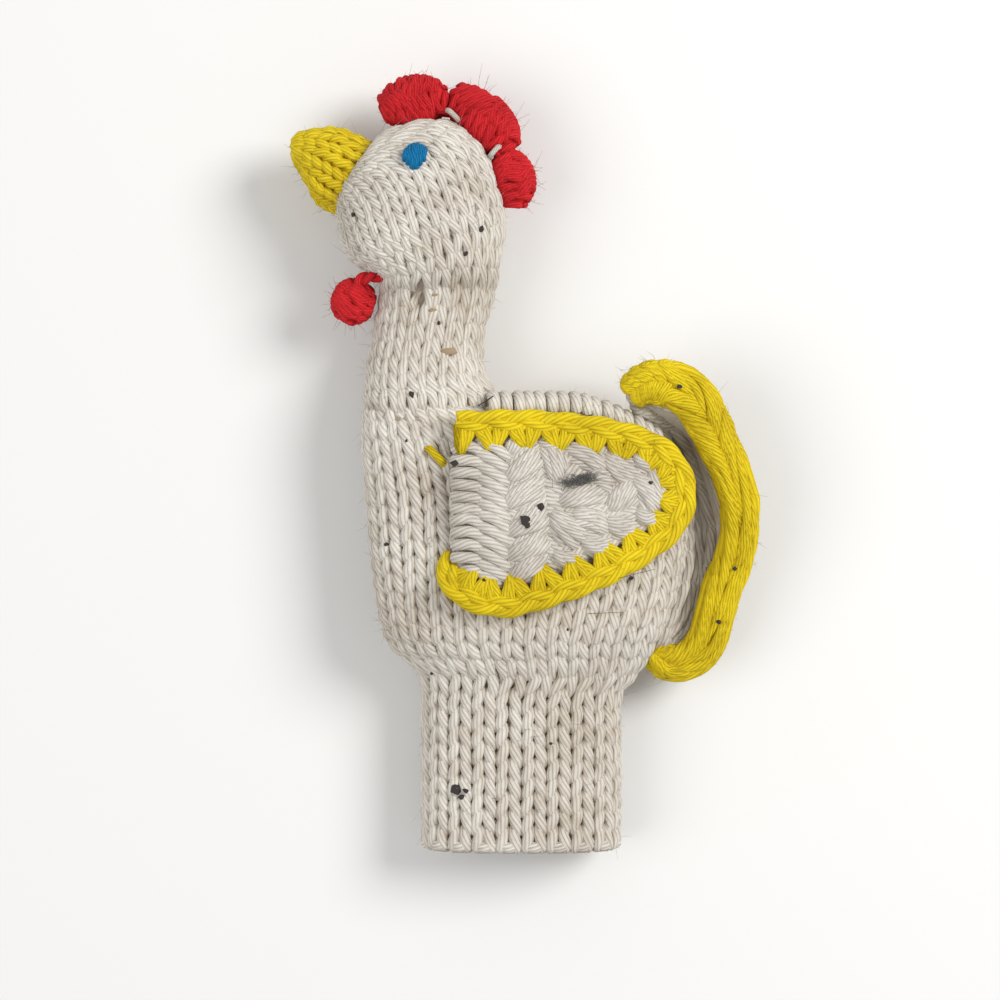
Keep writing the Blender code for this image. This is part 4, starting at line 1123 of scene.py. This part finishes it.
# Share of the tail's reach and height, of the way from its high end to its low end, and of the width
TAIL_RIM = (
    (-0.07, 0.965, 0.10, 0.80), (0.11, 1.000, 0.00, 1.10), (0.35, 0.990, 0.00, 1.30),
    (0.57, 0.920, 0.00, 1.25), (0.75, 0.800, 0.05, 1.10), (0.90, 0.680, 0.12, 1.00),
    (0.99, 0.580, 0.22, 1.00), (1.00, 0.470, 0.38, 0.95), (0.94, 0.380, 0.50, 0.98),
    (0.82, 0.250, 0.68, 1.05), (0.74, 0.120, 0.85, 1.05), (0.60, 0.036, 0.95, 1.00),
    (0.36, 0.000, 1.00, 0.95), (0.18, 0.036, 1.00, 0.70),
)
tail_left = CUFF_WIDTH / 2 + TAIL_SET + CAD_SHIFT
tail_bottom = hem_height + CUFF_LENGTH + TAIL_FOOT
tail_height = TORSO_LENGTH - TAIL_FOOT + TAIL_OVER
tail_top = WING_LIFT + TORSO_DEPTH / 2 + TAIL_TOP_RISE
tail_line = [(tail_left + TAIL_REACH * x, tail_bottom + tail_height * y,
              tail_top - (TAIL_TOP_RISE + TAIL_END_DROP) * z, width) for x, y, z, width in TAIL_RIM]
rim_stitches = round(length_of(through(tail_line, 60)[:, :3]) / TAIL_STITCH)
rim = through(tail_line, 12 * rim_stitches + 1)
rim_path, rim_share = rim[:, :3], rim[:, 3:]
rim_side, rim_up = framed(rim_path)[1:]
swell = 1 - 0.10 * np.cos(np.linspace(0, rim_stitches, len(rim)) * 2 * math.pi)[:, None] ** 2


def rim_line(aside, lift, wave=0.0, phase=0.0):
    """A line along the rim, shifted by shares of its half width and half thickness."""
    ripple = wave * np.sin(np.linspace(0, rim_stitches, len(rim)) * 2 * math.pi + phase)[:, None]
    return (rim_path + rim_side * (aside * TAIL_RIM_WIDTH / 2 * rim_share + ripple)
            + rim_up * (lift * TAIL_RIM_THICKNESS / 2 * swell))


rim_cords = [rim_line(0.74, 0.15, RIM_RIPPLE), rim_line(0.72, -0.30, RIM_RIPPLE, 2.0),
             rim_line(-0.74, 0.15, RIM_RIPPLE, 1.0), rim_line(-0.72, -0.30, RIM_RIPPLE, 3.0),
             rim_line(0.35, 0.05), rim_line(-0.35, 0.05), rim_line(0.0, 0.25), rim_line(0.0, -0.25)]
index = np.linspace(0, rim_stitches, len(rim))


def on_rim(where, aside, lift):
    """A point some stitches along the rim, shifted by shares of its half width and thickness."""
    where = min(max(where, 0.0), rim_stitches)
    middle, right, above, wide = (np.array([np.interp(where, index, column) for column in field.T])
                                  for field in (rim_path, rim_side, rim_up, rim_share))
    return middle + right * aside * TAIL_RIM_WIDTH / 2 * wide + above * lift * TAIL_RIM_THICKNESS / 2


rim_arms = []
for k in range(-1, rim_stitches):
    for face in (1, -1):
        for arm in (-1, 1):
            for j in range(4):
                start = k + 0.17 * j + (0.25 if arm > 0 else 0.0) + chance.normal(0, 0.02)
                rim_arms.append(through([
                    on_rim(start, arm * 0.84, 0.05 * face),
                    on_rim(start + 0.38, arm * 0.66, 0.48 * face),
                    on_rim(start + 0.85, arm * 0.34, 0.68 * face),
                    on_rim(start + 1.30, arm * 0.02, 0.42 * face)], 10))
for name, strands, radius in (("tail_rim_cords", rim_cords, RIM_CORD_YARN),
                              ("tail_rim_stitches", rim_arms, RIM_STITCH_YARN)):
    finish_yarn(spin(name, strands, radius, yellow_yarn), "yellow_yarn", "tail_edging")


def back_edge(y):
    """The furthest point of the torso's back edge at a height along the puppet."""
    flat = STATIONS[:FIRST_NECK - 1]
    s = station_at(np.interp(y, [s.y for s in flat], range(len(flat))))
    return np.array([s.x + s.half_width, y, (s.low + s.high) / 2])


FAN_TOP, FAN_FOOT = 0.90, 0.20       # where its root starts and ends, as shares of the torso's length
FAN_SEAT = 0.0012                   # how far its root reaches into the back


def fan_point(across, out):
    """A point of the cupped fan: across from its top to its bottom, out from the back to the rim."""
    share = FAN_TOP - (FAN_TOP - FAN_FOOT) * across
    root = back_edge(hem_height + CUFF_LENGTH + TORSO_LENGTH * share) - (FAN_SEAT, 0, 0)
    edge = np.array([np.interp(0.05 + 0.90 * across, np.linspace(0, 1, len(rim)), column)
                     for column in rim_path.T])
    point = root + (edge - root) * out
    point[2] -= TAIL_DIP * math.sin(math.pi * out) * math.sin(math.pi * min(max(across, 0.1), 0.9))
    return point


def chain(path, stitches):
    """A row of crochet chain along a path: one teardrop loop to a stitch, each under the next."""
    along, side, out = framed(path)
    index = np.linspace(0, stitches, len(path))
    phase = np.arange(STEPS) * 2 * math.pi / STEPS
    loops = []
    for k in range(stitches):
        place = k + 0.5 + 0.82 * np.cos(phase) + chance.normal(0, 0.03)
        across = CHAIN_WIDTH / 2 * np.sin(phase) * (1 - 0.25 * np.cos(phase))
        lift = -CHAIN_DIVE * (1 + np.cos(2 * phase)) + chance.normal(0, 0.04) * CHAIN_WIDTH / 2
        point = np.stack([np.interp(place, index, column) for column in path.T], axis=1)
        right = np.stack([np.interp(place, index, column) for column in side.T], axis=1)
        above = np.stack([np.interp(place, index, column) for column in out.T], axis=1)
        beyond = np.clip(place, 0, stitches)
        tangent = np.stack([np.interp(beyond, index, column) for column in along.T], axis=1)
        extra = (place - beyond) * length_of(path) / stitches
        loops.append(point + tangent * extra[:, None] + right * across[:, None]
                     + above * lift[:, None])
    return loops


fan_rows = []
for out in FAN_ROWS:
    line = np.array([fan_point(across, out) for across in np.linspace(0.02, 0.98, 120)])
    fan_rows += chain(line, round(length_of(line) / CHAIN_STITCH))
finish_yarn(spin("tail_crochet", fan_rows, PANEL_YARN, cream_crochet, True), "cream_yarn", "tail")
fan_sheet = bmesh.new()
bmesh.ops.create_grid(fan_sheet, x_segments=26, y_segments=12, size=0.5)
for vert in fan_sheet.verts:
    vert.co = fan_point(vert.co.x + 0.5, (vert.co.y + 0.5) * 0.97)
bmesh.ops.recalc_face_normals(fan_sheet, faces=fan_sheet.faces)
finish_yarn(put_down("tail_backing", fan_sheet, cream_crochet, wall=0.0008), "cream_yarn", "tail")

# Stuffing
# The wad of white fibre in the head. It shows nowhere, so it keeps its solid shape and only gets
# its finish.
fibre_wad = spun_yarn("white_fibre", (0.85, 0.84, 0.80), (0.60, 0.58, 0.54), (5.0, 50.0, 1.0))
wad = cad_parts["head_stuffing"]
wad.data.materials.clear()
wad.data.materials.append(fibre_wad)

# Loose fibres
# Fine hairs of wool that stand off all the yarn and blur its outline. They grow from random places
# on each piece and curl a little.
HAIR = 0.000034                     # radius
HAIR_SPREAD = 0.75                  # how far hairs lean off the straight, and how much they curl
HAIR_CURL = 0.6
LONGEST_HAIR = 2.1                  # shares of their usual reach


def fuzz(name, pieces, count, reach, material, slot):
    """Hairs grown from random places on some pieces, but not where they rest on the floor."""
    faces = []
    for piece in pieces:
        mesh = piece.data
        middles = np.empty(len(mesh.polygons) * 3)
        normals = np.empty(len(mesh.polygons) * 3)
        mesh.polygons.foreach_get("center", middles)
        mesh.polygons.foreach_get("normal", normals)
        faces.append(np.concatenate([middles.reshape(-1, 3), normals.reshape(-1, 3)], axis=1))
    faces = np.concatenate(faces)
    chosen = faces[chance.integers(0, len(faces), count)]
    chosen = chosen[chosen[:, 2] > 0.0004]
    curve = yarn_curve(name, HAIR, 3)
    for row in chosen:
        place, normal = row[:3], row[3:]
        away = normal + chance.normal(0, HAIR_SPREAD, 3)
        away /= np.linalg.norm(away)
        curl = chance.normal(0, HAIR_CURL, 3)
        length = reach * min(0.35 + chance.gamma(2.0, 0.4), LONGEST_HAIR)
        line = curve.splines.new("POLY")
        line.points.add(2)
        for k, point in enumerate(line.points):
            share = k / 2
            spot = place - normal * 0.00005 + (away * share + curl * share ** 2) * length
            point.co = (spot[0], spot[1], max(spot[2], 0.00003), 1.0)
            point.radius = 1.0 - 0.6 * share
    finish_yarn(drawn(name, curve, material), slot)


for name, sources, count, reach, material, slot in (
        ("cream_hairs", ["cuff", "torso_low", "torso_high", "neck", "head", "torso_ridge"], 11000,
         0.00088, cream_yarn, "cream_yarn"),
        ("panel_hairs", ["wing_left_clusters", "wing_left_bars", "wing_right_clusters",
                         "tail_crochet"], 1500, 0.0006, cream_crochet, "cream_yarn"),
        ("yellow_hairs", ["beak_knit", "wing_left_plait", "wing_left_legs", "wing_right_plait",
                          "tail_rim_cords", "tail_rim_stitches"], 2600, 0.0010, yellow_yarn,
         "yellow_yarn"),
        ("red_hairs", ["comb_crochet", "wattle_crochet"], 3000, 0.00080, red_yarn, "red_yarn"),
        ("blue_hairs", ["eye_left_stitches", "eye_right_stitches"], 120, 0.0005, blue_yarn,
         "blue_yarn")):
    fuzz(name, [bpy.data.objects[source] for source in sources], count, reach, material, slot)

# Dirt
# What it has picked up from lying about: dark crumbs, grey fluff, short hairs and a bit of straw.
# None of it is part of the puppet, so it carries no slot.
dark_crumb = plain("dark_crumb", (0.030, 0.024, 0.020), 0.85)
grey_fluff = plain("grey_fluff", (0.13, 0.125, 0.115), 0.95)
straw = plain("straw", (0.34, 0.245, 0.145), 0.8)
# Place across and up the puppet, and size, of each crumb and bit of straw in millimetres
CRUMBS = (
    (-9.0, -44.2, 0.75), (-8.2, -45.3, 0.50), (-7.6, -44.4, 0.35), (0.4, -8.0, 0.80),
    (2.4, -6.2, 0.60), (-18.2, -11.2, 0.42), (-9.0, -0.4, 0.55), (-5.4, 30.8, 0.40),
    (-7.5, 27.5, 0.33), (-11.2, 18.4, 0.30), (-22.6, 32.8, 0.34), (-14.8, 8.8, 0.40),
    (-5.1, -15.8, 0.33), (14.6, -15.7, 0.38), (-12.2, -28.7, 0.30), (6.0, -22.5, 0.28),
    (3.8, -38.0, 0.25), (-15.5, 2.6, 0.25), (17.0, -3.0, 0.30), (20.9, 9.8, 0.36),
    (28.6, -14.5, 0.34), (26.6, -21.8, 0.36),
)
STRAW_BITS = ((-9.8, 14.6, 1.1), (-11.7, 22.2, 0.4), (-12.0, 20.2, 0.5))
# Both ends of each dark hair, and its radius
DARK_HAIRS = ((-5.9, 7.2, -3.9, 8.5, 0.075), (12.6, -15.6, 17.4, -14.4, 0.03),
              (8.6, -20.4, 13.4, -20.2, 0.03))
DIRT_LIFT = 0.0001                  # how far the middle of a bit of dirt lies above the yarn
FLUFF_MIDDLE = (0.0074, -0.0027)
FLUFF_FIBRES = 170
FLUFF_RADIUS = 0.000028


def surface(x, y):
    """The height of whatever yarn lies on top at a place."""
    graph = bpy.context.evaluated_depsgraph_get()
    return bpy.context.scene.ray_cast(graph, Vector((x, y, 0.1)), Vector((0, 0, -1)))[1].z


bpy.context.view_layer.update()
crumbs = bmesh.new()
for x, y, size in np.array(CRUMBS) * 0.001:
    top = surface(x, y)
    stretch = chance.uniform(0.85, 1.3, 3) * (1, 1, 0.4)
    for vert in bmesh.ops.create_icosphere(crumbs, subdivisions=1, radius=1.0)["verts"]:
        jag = 0.9 + chance.normal(0, 0.2)
        offset = np.array(vert.co) * stretch * jag * size
        vert.co = (x + offset[0], y + offset[1], top + DIRT_LIFT + offset[2])
bits = bmesh.new()
for x, y, size in np.array(STRAW_BITS) * 0.001:
    top = surface(x, y)
    for vert in bmesh.ops.create_icosphere(bits, subdivisions=2, radius=1.0)["verts"]:
        jag = 1 + chance.normal(0, 0.10)
        vert.co = (x + vert.co.x * size * jag, y + vert.co.y * size * 0.45 * jag,
                   top + DIRT_LIFT + vert.co.z * size * 0.3)
dirty_hairs = []
for x1, y1, x2, y2, radius in np.array(DARK_HAIRS) * 0.001:
    line = np.linspace((x1, y1), (x2, y2), 12)
    height = np.full(len(line), max(surface(x, y) for x, y in line) + DIRT_LIFT)
    dirty_hairs.append((np.column_stack([line, height]), radius))
fluff = []
for k in range(FLUFF_FIBRES):
    middle = np.array(FLUFF_MIDDLE) + chance.normal(0, 1, 2) * (0.0012, 0.00036)
    middle[1] += (middle[0] - FLUFF_MIDDLE[0]) * 0.22
    turn = chance.uniform(0, math.pi)
    half = np.array([math.cos(turn), math.sin(turn)]) * chance.uniform(0.0003, 0.0008)
    top = surface(*middle) + chance.uniform(0, 0.0004)
    fluff.append((np.array([(*(middle + half * s), top + 0.0002 * (1 - s * s))
                            for s in (-1, -0.3, 0.4, 1)]), FLUFF_RADIUS))


def thin_lines(name, lines, material):
    """Thin threads, each a row of points and a radius."""
    curve = bpy.data.curves.new(name, "CURVE")
    curve.dimensions = "3D"
    curve.bevel_depth = 1.0
    curve.bevel_resolution = 0
    for line, radius in lines:
        spline = curve.splines.new("POLY")
        spline.points.add(len(line) - 1)
        for point, place in zip(spline.points, line):
            point.co = (*place, 1.0)
            point.radius = radius
    return drawn(name, curve, material)


for piece in (put_down("crumbs", crumbs, dark_crumb, rounded=False),
              put_down("straw", bits, straw, rounded=False),
              thin_lines("dark_hairs", dirty_hairs, dark_crumb),
              thin_lines("grey_fluff", fluff, grey_fluff)):
    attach(piece, "root")
